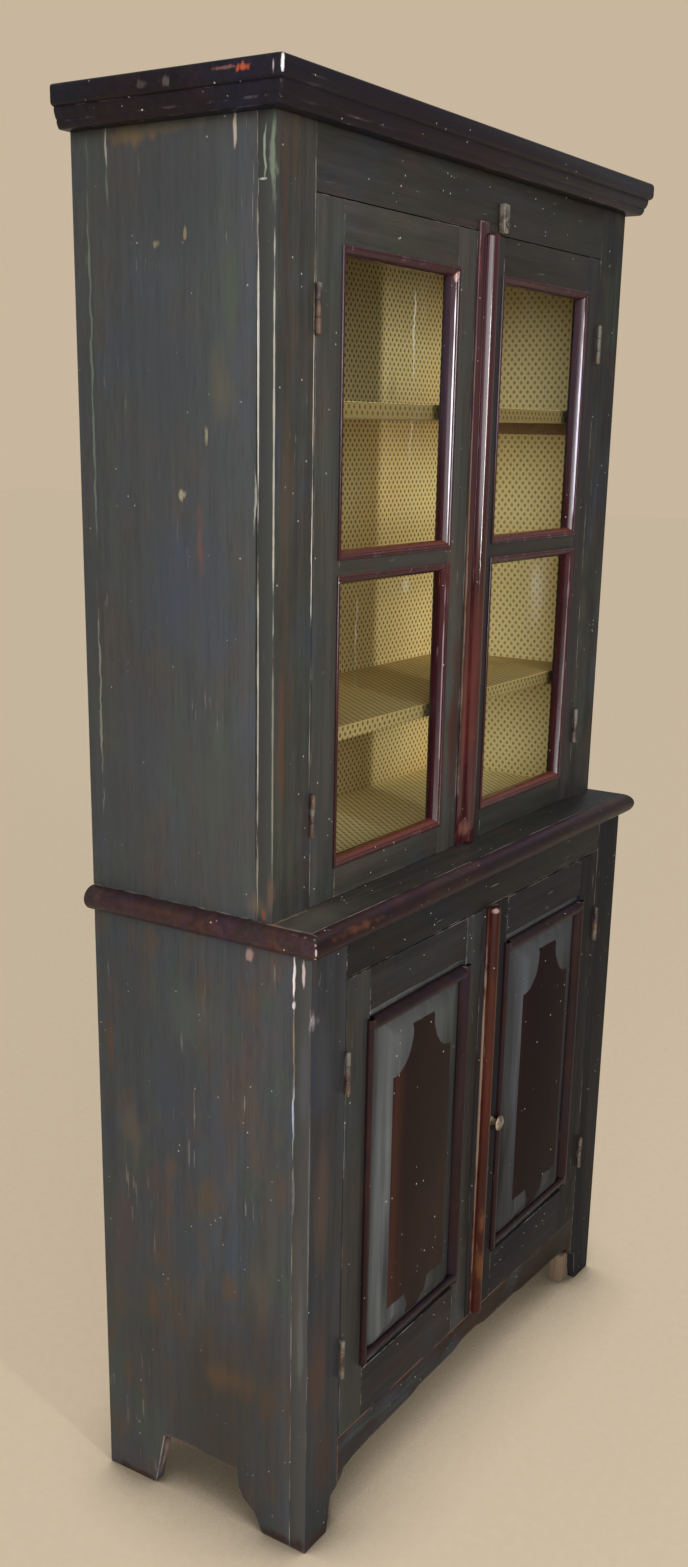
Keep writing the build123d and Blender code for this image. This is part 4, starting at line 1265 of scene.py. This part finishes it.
    # Lilac on the left-turned faces high up is a painted sheen; the warmer upward faces are painted light.
    glazing: Finish = WornPaint("glazing_maroon", base="#301216", cloud="#34141e", stain="#44181a",
                                bare="#a58f9c", cool="#301727", green="#271416", warm="#461a19",
                                deep="#160a0b", painted_sheen="#463b47", painted_sheen_from=1.55, relief=0.14, edge=0.2, rough=0.24,
                                shine=0.35, top_painted_light="#6b382b", tone=0.8, marks=GLAZING_HIGHLIGHT_MARKS)
    panel_trim: Finish = WornPaint("panel_trim_maroon", base="#221315", cloud="#24161b", stain="#2d1a16",
                                   bare="#6a5450", cool="#201725", green="#1e1817", warm="#311d18",
                                   deep="#0e0808", edge=0.25, rough=0.36, shine=0.15)
    # Lilac on the bead's left-turned faces high up is a painted sheen.
    upper_astragal: Finish = WornPaint("upper_astragal_pink", base="#341213", cloud="#38161b", stain="#401713",
                                       bare="#b89a96", cool="#351a24", green="#2e1413", warm="#431613",
                                       deep="#210e10", painted_sheen="#4f353f", painted_sheen_from=1.5, relief=0.1, edge=0.35,
                                       rough=0.13, shine=0.6,
                                       marks=(Mark((8, -136, 1290), (20, 20, 250), "#5e2a26", 0.6, 0.8, 0.7, 30),
                                              Mark((-8, -127, 1480), (1.2, 6, 390), "#6d5240", 0.8, 0.5, 0.8, 60),
                                              Mark((-18, -127, 1950), (14, 8, 40), "#7d343a", 0.6, 0.9, 0.9, 60),
                                              Mark((6, -136, 1066), (20, 20, 22), "#8a5a50", 0.7, 0.9, 1.0, 60)))
    lower_astragal: Finish = WornPaint("lower_astragal_red", base="#33120c", cloud="#361711", stain="#4b2413",
                                       bare="#8a7468", cool="#30181a", green="#2c1910", warm="#4a1c0f",
                                       deep="#180b08", edge=0.5, rough=0.3, shine=0.2,
                                       marks=(Mark((-9, -195.3, 620), (3.2, 8, 330), "#7d6a5c", 0.8, 0.5, 0.9, 60),
                                              Mark((2, -203, 936), (9, 12, 6), "#a58b83", 0.7, 0.6, 0.9, 90),
                                              Mark((6, -203, 250), (12, 12, 60), "#5f3a20", 0.75, 0.9, 1.1, 50),
                                              Mark((4, -203, 350), (8, 12, 40), "#66402a", 0.7, 0.9, 1.1, 50)))
    left_panel: Finish = PanelPaint("left_panel_paint", centre_x=-226.0)
    # Darker copy of the left panel's paint: painted shade, the light falling off to the right.
    right_panel_shaded: Finish = PanelPaint("right_panel_shaded_paint", shine=0.02, centre_x=220.0, flat="#211f1e", bevel="#373738",
                                     bright="#4c4e52", field="#1c1314", glow="#241617", dusk="#1c1314")
    paper: Finish = WallPaper("dotted_paper")
    # Darker copy of the paper for the shelf boards: painted shade.
    shaded_shelf_paper: Finish = WallPaper("shaded_shelf_paper", ground="#8a7547", warm="#8f7443", dot="#473c25",
                                    shaded_shelf_top="#8a7547", lit="#8a7547")
    wood_upright: Finish = BareWood("bare_wood_upright")
    wood_across: Finish = BareWood("bare_wood_across", grain=Grain.ACROSS)
    wood_block: Finish = BareWood("bare_block_wood", pale="#75624d", dark="#432f25")
    glass: Finish = OldGlass("old_glass", marks=GLASS_REFLECTION_MARKS)
    iron: Finish = Metal("rusty_iron")
    screw: Finish = Metal("dull_screw", base="#5a544c", rust="#4a3a2e", paint="#6a645a", metallic=0.8, rough=0.45)
    button: Finish = TurnedWood("button_wood", pale="#6a6258", dark="#3c332a", rough=0.45, blotch=70,
                                marks=(Mark((62, -138, 1996), (3, 12, 16), "#b3a182", 0.8, 0.7, 0.9, 120),))
    knob: Finish = TurnedWood("knob_wood", pale="#96866e", dark="#4f4336")
    floor: Finish = StudioPaper("studio_paper")


LOOKS = Finishes()


# ---------------------------------------------------------------------------------------------------------------
# Sub-assemblies
# ---------------------------------------------------------------------------------------------------------------

def eased_board(node: str, body: str, slot: str, look: Finish, width: float = 1.4) -> bpy.types.Object:
    """Makes a board that keeps its CAD shape, with rounded, rubbed arrises.

    Args:
        node: The CAD node that it replaces.
        body: The body that it rides on.
        slot: Not used; passed on to place, which ignores it.
        look: Its finish.
        width: The rounding in millimetres.

    Returns:
        The finished object.
    """
    piece = Workpiece.copy_of(f"{node}_board", node)
    return piece.eased(width * MM).smoothed(40).place(body, slot, look, node)


@dataclass
class CaseBoards:
    """The painted boards of both cases and the bare boards inside them."""

    easing: float = 1.6
    small_easing: float = 1.0

    def build(self) -> None:
        """Builds and dresses every board of the case."""
        painted = (
            ("lower_side_left", LOOKS.lower_side), ("lower_side_right", LOOKS.far_side),
            ("lower_stile_left", LOOKS.lower_left_stile_shaded), ("lower_stile_right", LOOKS.lower_right_stile_shaded),
            ("lower_top_rail", LOOKS.lower_rail), ("lower_apron", LOOKS.apron), ("waist_board", LOOKS.ledge),
            ("upper_side_left", LOOKS.upper_side), ("upper_side_right", LOOKS.far_side),
            ("upper_top_board", LOOKS.ledge), ("upper_stile_left", LOOKS.left_stile),
            ("upper_stile_right", LOOKS.right_stile_shaded), ("upper_top_rail", LOOKS.upper_rail),
        )
        for node, look in painted:
            eased_board(node, "case", "case_paint", look, self.easing)
        bare = (
            ("lower_bottom_board", LOOKS.wood_across), ("lower_shelf", LOOKS.wood_across),
            ("lower_glue_blocks", LOOKS.wood_block), ("upper_floor_board", LOOKS.wood_across),
            ("shelf_cleats", LOOKS.wood_across),
        )
        for node, look in bare:
            eased_board(node, "case", "bare_wood", look, self.small_easing)
        eased_board("upper_shelves", "case", "wall_paper", LOOKS.shaded_shelf_paper, self.small_easing)


@dataclass
class PlankBack:
    """A back made of upright planks that are chamfered where they meet."""

    node: str
    planks: int = 5
    chamfer: float = 1.6
    easing: float = 0.8

    def build(self) -> bpy.types.Object:
        """Builds the planks side by side and dresses them.

        Returns:
            The finished back.
        """
        low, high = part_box(self.node)
        width = (high.x - low.x) / self.planks
        first = Workpiece.block(f"{self.node}_planks", low, Vector((low.x + width, high.y, high.z)))
        first.pick(Part.EDGES, lambda mid, way: abs(way.z) > 0.9 and mid.y > high.y - 1e-5)
        first.bevel_picked(self.chamfer * MM, 1)
        others = []
        for number in range(1, self.planks):
            take_up(first.obj)
            bpy.ops.object.duplicate()
            copy = Workpiece(bpy.context.active_object)
            copy.pick(Part.VERTS, lambda place, way: True).move_picked(Vector((width * number, 0, 0)))
            others.append(copy)
        first.joined(*others)
        return first.eased(self.easing * MM, 1).smoothed(40).place("case", "bare_wood", LOOKS.wood_upright,
                                                                  self.node)


@dataclass
class EdgeRun:
    """A moulding that runs round the front and both sides of a case, mitred at the front corners."""

    name: str
    outline: tuple[Pair, ...]
    look: Finish
    inner_x: float
    corner_rounding: float = 3.0
    easing: float = 1.0
    smooth: float = 35.0

    def build(self) -> bpy.types.Object:
        """Sweeps the outline along three sides, joins them at the mitres and rounds the corners.

        Returns:
            The finished moulding.
        """
        front_low, front_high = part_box(f"{self.name}_front")
        left_low, left_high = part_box(f"{self.name}_left")
        base = front_low.z
        y_inner = front_high.y
        y_back = left_high.y
        inner = self.inner_x * MM
        far = 0.2
        bars = []
        front = [Vector((-inner - far, y_inner - d * MM, base + z * MM)) for d, z in self.outline]
        bars.append(Workpiece.bar(f"{self.name}_run", front, Vector((2 * (inner + far), 0, 0)), (
            (Vector((-inner, y_inner, base)), Vector((-1, 1, 0)).normalized()),
            (Vector((inner, y_inner, base)), Vector((1, 1, 0)).normalized()),
        )))
        for side in (-1, 1):
            section = [Vector((side * (inner + d * MM), y_back, base + z * MM)) for d, z in self.outline]
            bar = Workpiece.bar(f"{self.name}_side", section, Vector((0, y_inner - y_back - far, 0)), (
                (Vector((side * inner, y_inner, base)), Vector((-side, -1, 0)).normalized()),
            ))
            bar.pick(Part.EDGES, lambda mid, way: abs(mid.y - y_back) < 1e-5)
            bpy.ops.mesh.edge_face_add()
            bars.append(bar.done())
        piece = bars[0].joined(*bars[1:]).closed_up()
        reach = inner + max(d for d, _ in self.outline) * MM
        piece.pick(Part.EDGES, lambda mid, way: abs(abs(mid.x) - inner - (y_inner - mid.y)) < 1e-4
                   and mid.y < y_inner - 0.008 and abs(mid.x) <= reach)
        piece.bevel_picked(self.corner_rounding * MM, 3)
        return piece.eased(self.easing * MM, 2, 30).smoothed(self.smooth).place(
            "case", "maroon_moulding", self.look, f"{self.name}_front", f"{self.name}_left",
            f"{self.name}_right")


@dataclass
class FrameMoulding:
    """A moulding round a rectangle on a door's face."""

    name: str
    section: tuple[Pair, ...]
    width: float
    rounded: bool

    def run(self, x0: float, x1: float, z0: float, z1: float, y_face: float) -> Workpiece:
        """Builds the moulding round one rectangle.

        Args:
            x0: The outer left edge, in metres.
            x1: The outer right edge.
            z0: The outer lower edge.
            z1: The outer upper edge.
            y_face: The plane that the section's height is measured from.

        Returns:
            The closed moulding.
        """
        return self._spun(x0, x1, z0, z1, y_face) if self.rounded else self._mitred(x0, x1, z0, z1, y_face)

    def _spun(self, x0: float, x1: float, z0: float, z1: float, y_face: float) -> Workpiece:
        """Turns the section round each inner corner, so that the outer corners are round."""
        w = self.width * MM
        start = [Vector((x0 + u * MM, y_face - h * MM, z0 + w)) for u, h in self.section]
        piece = Workpiece.chain(self.name, start, closed=True)
        open_whole(piece.obj)
        turns = (
            (Vector((0, 0, z1 - z0 - 2 * w)), Vector((x0 + w, y_face, z1 - w))),
            (Vector((x1 - x0 - 2 * w, 0, 0)), Vector((x1 - w, y_face, z1 - w))),
            (Vector((0, 0, -(z1 - z0 - 2 * w))), Vector((x1 - w, y_face, z0 + w))),
            (Vector((-(x1 - x0 - 2 * w), 0, 0)), Vector((x0 + w, y_face, z0 + w))),
        )
        for straight, pivot in turns:
            bpy.ops.mesh.extrude_region_move(TRANSFORM_OT_translate={"value": straight})
            bpy.ops.mesh.spin(steps=7, angle=math.pi / 2, center=pivot, axis=(0, 1, 0))
        bpy.ops.object.mode_set(mode="OBJECT")
        return piece.closed_up(2e-5)

    def _mitred(self, x0: float, x1: float, z0: float, z1: float, y_face: float) -> Workpiece:
        """Cuts four straight bars on the mitre and joins them."""
        far = 0.02
        bars = []
        for at, way in ((x0, 1), (x1, -1)):
            section = [Vector((at + way * u * MM, y_face - h * MM, z0 - far)) for u, h in self.section]
            bars.append(Workpiece.bar(self.name, section, Vector((0, 0, z1 - z0 + 2 * far)), (
                (Vector((at, y_face, z1)), Vector((way, 0, 1)).normalized()),
                (Vector((at, y_face, z0)), Vector((way, 0, -1)).normalized()),
            )))
        for at, way in ((z0, 1), (z1, -1)):
            section = [Vector((x0 - far, y_face - h * MM, at + way * u * MM)) for u, h in self.section]
            bars.append(Workpiece.bar(self.name, section, Vector((x1 - x0 + 2 * far, 0, 0)), (
                (Vector((x1, y_face, at)), Vector((1, 0, way)).normalized()),
                (Vector((x0, y_face, at)), Vector((-1, 0, way)).normalized()),
            )))
        return bars[0].joined(*bars[1:]).closed_up()


@dataclass
class GlazedDoor:
    """An upper door: frame, two lights of glass and the mouldings round them."""

    side: str
    look: Finish
    rail_look: Finish
    light_left: float
    light_right: float
    lights: tuple[Pair, ...] = ((1085.0, 1512.0), (1533.0, 1943.0))
    section: tuple[Pair, ...] = ((0, 0), (0, 1.6), (0.5, 2.7), (1.6, 3.4), (3.3, 3.5), (4.8, 3.1), (5.7, 2.1),
                                 (6.3, 1.4), (7.4, 1.0), (8.6, 0.1), (9.6, -1.3), (11.2, -3.4), (12.4, -5.4),
                                 (13, -7), (13, -18), (5, -18), (5, 0))

    def build(self) -> None:
        """Builds and dresses the door."""
        body = f"upper_{self.side}_door"
        eased_board(f"upper_{self.side}_stiles", body, "door_paint", self.look, 1.3)
        eased_board(f"upper_{self.side}_rails", body, "door_paint", self.rail_look, 1.0)
        node = f"upper_{self.side}_glazing_mouldings"
        y_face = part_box(f"upper_{self.side}_stiles")[0].y
        trim = FrameMoulding(f"upper_{self.side}_glazing_trim", self.section, 13.0, rounded=False)
        frames = [trim.run(self.light_left * MM, self.light_right * MM, low * MM, high * MM, y_face)
                  for low, high in self.lights]
        frames[0].joined(*frames[1:]).eased(0.5 * MM, 2, 28).smoothed(40).place(
            body, "maroon_moulding", LOOKS.glazing, node)
        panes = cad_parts[f"upper_{self.side}_panes"]
        panes.data.materials.clear()
        panes.data.materials.append(LOOKS.glass.material())
        LOG.info("%s: glass", panes.name)


@dataclass
class PanelDoor:
    """A lower door: frame, raised panel and the moulding round it."""

    side: str
    look: Finish
    stile_look: Finish
    rail_look: Finish
    trim_left: float
    trim_right: float
    trim_low: float = 243.0
    trim_high: float = 881.0
    section: tuple[Pair, ...] = ((0, 0), (0, 3.6), (0.4, 5.0), (1.4, 6.3), (2.8, 7.4), (4.6, 8.0), (7.0, 8.1),
                                 (9.4, 7.8), (11.6, 6.8), (13.6, 5.2), (15.2, 3.6), (16.8, 1.9), (18.2, -0.2),
                                 (19.2, -2.4), (20, -4), (20, -6), (8, -6), (8, 0))

    def build(self) -> None:
        """Builds and dresses the door."""
        body = f"lower_{self.side}_door"
        eased_board(f"lower_{self.side}_stiles", body, "door_paint", self.stile_look, 1.4)
        eased_board(f"lower_{self.side}_rails", body, "door_paint", self.rail_look, 1.0)
        eased_board(f"lower_{self.side}_panel", body, "panel_paint", self.look, 1.8)
        y_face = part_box(f"lower_{self.side}_stiles")[0].y
        trim = FrameMoulding(f"lower_{self.side}_panel_trim", self.section, 20.0, rounded=True)
        piece = trim.run(self.trim_left * MM, self.trim_right * MM, self.trim_low * MM, self.trim_high * MM,
                         y_face)
        piece.eased(0.6 * MM, 2, 32).smoothed(40).place(body, "maroon_moulding", LOOKS.panel_trim,
                                                        f"lower_{self.side}_panel_moulding")


@dataclass
class Astragal:
    """A flat strip with a half-round bead that covers the gap between two doors."""

    row: str
    look: Finish
    slot: str
    end_rounding: float = 5.0

    def build(self) -> None:
        """Builds and dresses the strip and the bead."""
        body = f"{self.row}_right_door"
        strip = f"{self.row}_right_astragal_strip"
        node = f"{self.row}_right_astragal_bead"
        eased_board(strip, body, self.slot, self.look, 1.6)
        low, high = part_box(node)
        radius = (high.x - low.x) / 2
        centre = Vector(((low.x + high.x) / 2, high.y, (low.z + high.z) / 2))
        bead = Workpiece.rod(f"{self.row}_bead", centre, radius, high.z - low.z, "Z", 40)
        bead.pick(Part.FACES, lambda mid, way: True)
        bpy.ops.mesh.bisect(plane_co=centre, plane_no=(0, 1, 0), clear_outer=True, use_fill=True)
        bead.done()
        bead.pick(Part.EDGES, lambda mid, way: abs(way.z) < 0.1 and mid.y < high.y - 1e-4)
        bead.bevel_picked(self.end_rounding * MM, 4)
        bead.eased(0.8 * MM, 2, 50).smoothed(45).place(body, self.slot, self.look, node)


@dataclass
class HingeSet:
    """The eight butt hinges' visible barrels, leaves and pins."""

    pin_x: float = 442.0
    knuckle: float = 4.2
    pin: float = 1.8
    leaf: float = 2.0
    leaf_depth: float = 20.0
    split: float = 0.4
    gap: float = 0.5
    upper: tuple[Pair, ...] = ((1178.5, 63.0), (1859.5, 63.0))
    lower: tuple[Pair, ...] = ((307.5, 67.0), (796.5, 67.0))

    def build(self) -> None:
        """Builds and dresses every hinge."""
        case_halves: list[Workpiece] = []
        pins: list[Workpiece] = []
        for row, spots, y_face in (("upper", self.upper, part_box("upper_stile_left")[0].y),
                                   ("lower", self.lower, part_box("lower_stile_left")[0].y)):
            for word, side in (("left", -1), ("right", 1)):
                door_halves: list[Workpiece] = []
                for level, height in spots:
                    self._hinge(side, y_face, level, height, case_halves, door_halves, pins)
                self._hand_over(door_halves, f"{row}_{word}_door", f"{row}_{word}_hinge_leaves")
        self._hand_over(case_halves, "case", "case_hinge_leaves")
        self._hand_over(pins, "case", "hinge_pins")

    def _hinge(self, side: int, y_face: float, level: float, height: float, case_halves: list[Workpiece],
               door_halves: list[Workpiece], pins: list[Workpiece]) -> None:
        """Builds one hinge and adds its pieces to the lists."""
        x = side * self.pin_x * MM
        y = y_face - 5 * MM
        y_plate = y_face - 0.5 * MM
        low = (level - height / 2) * MM
        high = (level + height / 2) * MM
        step = (high - low) / 3
        gap = self.gap * MM
        for z0, z1, way, group in ((low, low + step - gap, side, case_halves),
                                   (low + step, high - step, -side, door_halves),
                                   (high - step + gap, high, side, case_halves)):
            barrel = Workpiece.rod("barrel", Vector((x, y, (z0 + z1) / 2)), self.knuckle * MM, z1 - z0, "Z", 24)
            bore = Workpiece.rod("bore", Vector((x, y, (z0 + z1) / 2)), (self.pin + 0.05) * MM, 0.2, "Z", 24)
            group.append(barrel.bored(bore))
            near = x + way * self.split / 2 * MM
            far = near + way * self.leaf * MM
            web_low = Vector((min(near, far), y, z0))
            group.append(Workpiece.block("web", web_low, Vector((max(near, far), y_plate + 1 * MM, z1))))
        for way, group in ((side, case_halves), (-side, door_halves)):
            near = x + way * self.split / 2 * MM
            far = near + way * self.leaf * MM
            group.append(Workpiece.block("leaf", Vector((min(near, far), y_plate, low)),
                                         Vector((max(near, far), y_plate + self.leaf_depth * MM, high))))
        pin = Workpiece.rod("pin", Vector((x, y, (low + high) / 2)), self.pin * MM, high - low + 2 * MM, "Z", 20)
        pin.pick(Part.EDGES, lambda mid, direction: abs(direction.z) < 0.1)
        pins.append(pin.bevel_picked(0.7 * MM, 3))

    def _hand_over(self, pieces: list[Workpiece], body: str, node: str) -> None:
        """Joins pieces, softens their edges and lets them replace a node."""
        whole = pieces[0].joined(*pieces[1:])
        whole.obj.name = f"{node}_set"
        whole.eased(0.35 * MM, 2, 40).smoothed(40).place(body, "hinge_iron", LOOKS.iron, node)


@dataclass
class TurnButton:
    """A whittled wooden turn button on a slotted screw."""

    taper: float = 0.8
    bevel: float = 2.4

    def build(self) -> None:
        """Builds and dresses the button and its screw."""
        low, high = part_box("turn_button")
        button = Workpiece.block("whittled_button", low, high)
        for end in (low.z, high.z):
            button.pick(Part.FACES, lambda mid, way: abs(mid.z - end) < 1e-5)
            bpy.ops.transform.resize(value=(self.taper, 0.86, 1.0), center_override=(
                (low.x + high.x) / 2, high.y, end))
            button.done()
        button.pick(Part.EDGES, lambda mid, way: mid.y < high.y - 1e-4)
        button.bevel_picked(self.bevel * MM, 2)
        pivot = Vector(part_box("button_screw")[0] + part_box("button_screw")[1]) / 2
        bore = Workpiece.rod("bore", Vector((pivot.x, (low.y + high.y) / 2, pivot.z)), 2.3 * MM, 0.05, "Y", 24)
        button.bored(bore)
        button.eased(0.5 * MM, 2, 30).smoothed(30).place("turn_button", "button_wood", LOOKS.button,
                                                         "turn_button")
        self._screw()

    def _screw(self) -> None:
        """Turns a domed, slotted screw head on its shank."""
        low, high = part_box("button_screw")
        radius = (high.x - low.x) / 2
        x = (low.x + high.x) / 2
        z = (low.z + high.z) / 2
        shank = 2.0 * MM
        line = [(0, low.y), (radius * 0.55, low.y + 0.3 * MM), (radius * 0.9, low.y + 1.0 * MM),
                (radius, low.y + 1.7 * MM), (radius, low.y + 2.2 * MM), (shank, low.y + 2.3 * MM),
                (shank, high.y), (0, high.y)]
        screw = turned("slotted_screw", x, z, line, 32)
        slot = Workpiece.block("slot", Vector((x - 0.02, low.y - 0.01, z - 0.45 * MM)),
                               Vector((x + 0.02, low.y + 0.9 * MM, z + 0.45 * MM)))
        screw.bored(slot)
        screw.smoothed(30).place("case", "screw_iron", LOOKS.screw, "button_screw")


def turned(name: str, x: float, z: float, line: Sequence[Pair], steps: int = 48) -> Workpiece:
    """Turns a line round an axis that runs from front to back.

    Args:
        name: The new object's name.
        x: The axis's place across.
        z: The axis's height.
        line: Radius and y of each point, in metres.
        steps: How many sides the turned piece has.

    Returns:
        The closed workpiece.
    """
    piece = Workpiece.chain(name, [Vector((x + r, y, z)) for r, y in line], closed=False)
    open_whole(piece.obj)
    bpy.ops.mesh.spin(steps=steps, angle=2 * math.pi, center=(x, 0, z), axis=(0, 1, 0))
    bpy.ops.object.mode_set(mode="OBJECT")
    return piece.closed_up(2e-5)


@dataclass
class LatchKnob:
    """A turned knob on its rose, and the latch cam behind the door."""

    def build(self) -> None:
        """Builds and dresses the knob and rose and dresses the cam."""
        low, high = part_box("knob")
        x = (low.x + high.x) / 2
        z = (low.z + high.z) / 2
        radius = (high.x - low.x) / 2
        y = low.y
        face = 6.5 * MM
        neck = 6.0 * MM
        line = [(0, y), (radius * 0.35, y + 0.25 * MM), (radius * 0.62, y + 0.9 * MM), (radius * 0.83, y + 2.0 * MM),
                (radius * 0.95, y + 3.3 * MM), (radius, y + 4.6 * MM), (radius * 0.93, y + 5.7 * MM),
                (radius * 0.75, y + face), (neck * 1.15, y + face + 1.2 * MM), (neck * 0.92, y + face + 3.4 * MM),
                (neck * 0.86, y + face + 6 * MM), (neck, high.y - 2 * MM), (neck, high.y), (0, high.y)]
        turned("turned_knob", x, z, line, 40).smoothed(50).place("latch_knob", "knob_wood", LOOKS.knob, "knob")
        low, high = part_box("knob_rose")
        radius = (high.x - low.x) / 2
        inner = 3.4 * MM
        line = [(inner, low.y), (radius * 0.7, low.y), (radius * 0.92, low.y + 0.7 * MM),
                (radius, low.y + 1.9 * MM), (radius, high.y), (inner, high.y), (inner, low.y)]
        turned("turned_rose", x, z, line, 40).smoothed(40).place("lower_right_door", "knob_wood", LOOKS.knob,
                                                                 "knob_rose")
        eased_board("latch_cam", "latch_knob", "screw_iron", LOOKS.screw, 0.4)


@dataclass
class PaperLining:
    """The dotted paper on the upper case's walls, floor and shelves."""

    def build(self) -> None:
        """Dresses the lining, which keeps its CAD shape."""
        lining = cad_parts["upper_paper_lining"]
        lining.data.materials.clear()
        lining.data.materials.append(LOOKS.paper.material())
        LOG.info("%s: paper", lining.name)


# ---------------------------------------------------------------------------------------------------------------
# Studio
# ---------------------------------------------------------------------------------------------------------------

@dataclass
class Studio:
    """A plain pale floor, an even backdrop and soft light."""

    backdrop: str = "#c8b79e"
    sky_strength: float = 0.30
    key_from: Point = (-0.85, -0.50, 0.25)
    key_strength: float = 1.7
    fill_from: Point = (-0.55, -0.82, 0.12)
    fill_strength: float = 0.62
    strip_place: Point = (-1.5, -3.3, 1.95)
    strip_size: Pair = (0.2, 1.5)
    strip_power: float = 62.0

    def build(self) -> None:
        """Builds the floor, the lamps and the world."""
        clear_selection()
        bpy.ops.mesh.primitive_plane_add(size=60, location=(0, 0, 0))
        floor = bpy.context.active_object
        floor.name = "studio_floor"
        floor.data.materials.append(LOOKS.floor.material())
        self._sun("key_light", self.key_from, self.key_strength, 48)
        self._sun("fill_light", self.fill_from, self.fill_strength, 40)
        self._softbox()
        self._world()
        LOG.info("studio ready")

    def _sun(self, name: str, source: Point, strength: float, angle: float) -> None:
        """Adds a broad soft sun that shines from a direction."""
        data = bpy.data.lights.new(name, "SUN")
        data.energy = strength
        data.angle = math.radians(angle)
        lamp = bpy.data.objects.new(name, data)
        lamp.rotation_euler = Vector(source).to_track_quat("Z", "Y").to_euler()
        bpy.context.scene.collection.objects.link(lamp)

    def _softbox(self) -> None:
        """Adds a tall narrow softbox in front, which draws the upright highlights and lights the inside."""
        data = bpy.data.lights.new("strip_softbox", "AREA")
        data.shape = "RECTANGLE"
        data.size, data.size_y = self.strip_size
        data.energy = self.strip_power
        lamp = bpy.data.objects.new("strip_softbox", data)
        place = Vector(self.strip_place)
        lamp.location = place
        lamp.rotation_euler = Vector((place.x, place.y, 0)).to_track_quat("Z", "Y").to_euler()
        lamp.visible_camera = False
        bpy.context.scene.collection.objects.link(lamp)

    def _world(self) -> None:
        """Makes an even sky that the camera sees in the backdrop's colour."""
        world = bpy.data.worlds.new("studio_world")
        world.use_nodes = True
        bpy.context.scene.world = world
        tree = world.node_tree
        tree.nodes.clear()
        light = tree.nodes.new("ShaderNodeBackground")
        light.inputs["Color"].default_value = (0.93, 0.97, 1.0, 1.0)
        light.inputs["Strength"].default_value = self.sky_strength
        seen = tree.nodes.new("ShaderNodeBackground")
        seen.inputs["Color"].default_value = shade(self.backdrop)
        seen.inputs["Strength"].default_value = 1.0
        path = tree.nodes.new("ShaderNodeLightPath")
        mix = tree.nodes.new("ShaderNodeMixShader")
        out = tree.nodes.new("ShaderNodeOutputWorld")
        tree.links.new(path.outputs["Is Camera Ray"], mix.inputs[0])
        tree.links.new(light.outputs[0], mix.inputs[1])
        tree.links.new(seen.outputs[0], mix.inputs[2])
        tree.links.new(mix.outputs[0], out.inputs["Surface"])


@dataclass
class Viewpoint:
    """The camera at the photograph's angle."""

    place: Point = (-2.200, -1.31725, 1.709)
    azimuth: float = 33.15
    elevation: float = -16.92
    roll: float = 0.97
    lens: float = 35.03
    shift: Pair = (0.0054, 0.0701)

    def build(self) -> bpy.types.Object:
        """Sets the camera up.

        Returns:
            The camera object.
        """
        data = bpy.data.cameras.new("photo_camera")
        data.lens = self.lens
        data.sensor_width = 36.0
        data.sensor_fit = "AUTO"
        data.shift_x, data.shift_y = self.shift
        data.clip_end = 100.0
        az, el, turn = (math.radians(v) for v in (self.azimuth, self.elevation, self.roll))
        ahead = Vector((math.cos(az) * math.cos(el), math.sin(az) * math.cos(el), math.sin(el)))
        right = Vector((math.sin(az), -math.cos(az), 0))
        up = right.cross(ahead)
        across = right * math.cos(turn) + up * math.sin(turn)
        above = up * math.cos(turn) - right * math.sin(turn)
        rows = Matrix((across, above, -ahead)).transposed().to_4x4()
        camera = bpy.data.objects.new("photo_camera", data)
        camera.matrix_world = Matrix.Translation(self.place) @ rows
        bpy.context.scene.collection.objects.link(camera)
        bpy.context.scene.camera = camera
        return camera


def main() -> None:
    """Builds the camera, the studio and every sub-assembly."""
    logging.basicConfig(level=logging.INFO, format="%(name)s: %(message)s")
    bpy.context.scene.view_settings.view_transform = "Standard"
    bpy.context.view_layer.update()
    Viewpoint().build()
    Studio().build()
    CaseBoards().build()
    PlankBack("upper_back").build()
    PlankBack("lower_back").build()
    cornice = ((0, 0), (19.4, 0), (21.6, 0.8), (23.4, 3.2), (25, 6.6), (25.6, 9.2), (24.9, 10.8), (26.6, 12.2),
               (28.2, 15.4), (29.5, 19.4), (30.2, 23.4), (29.6, 25.6), (32.6, 26.4), (35, 28.4), (36, 31),
               (36, 48.6), (34.9, 51.2), (32.4, 52.6), (29, 53), (0, 53))
    EdgeRun("cornice", cornice, LOOKS.cornice, 533.5).build()
    arc = [(22.5 * math.cos(math.radians(a)), 19 + 19 * math.sin(math.radians(a))) for a in range(-90, 91, 10)]
    EdgeRun("waist_moulding", ((0, 0), *arc, (0, 38)), LOOKS.waist, 533.5, corner_rounding=4.0,
            easing=0.6).build()
    PaperLining().build()
    GlazedDoor("left", LOOKS.upper_left_door, LOOKS.upper_door_rail, -381, -61).build()
    GlazedDoor("right", LOOKS.upper_right_door, LOOKS.upper_right_rails, 75, 395).build()
    PanelDoor("left", LOOKS.left_panel, LOOKS.lower_left_door, LOOKS.lower_left_rails, -384, -68).build()
    PanelDoor("right", LOOKS.right_panel_shaded, LOOKS.lower_right_door, LOOKS.lower_right_rails, 61, 379).build()
    Astragal("upper", LOOKS.upper_astragal, "upper_astragal_paint").build()
    Astragal("lower", LOOKS.lower_astragal, "lower_astragal_paint").build()
    HingeSet().build()
    TurnButton().build()
    LatchKnob().build()
    clear_selection()


if __name__ == "__main__":
    main()
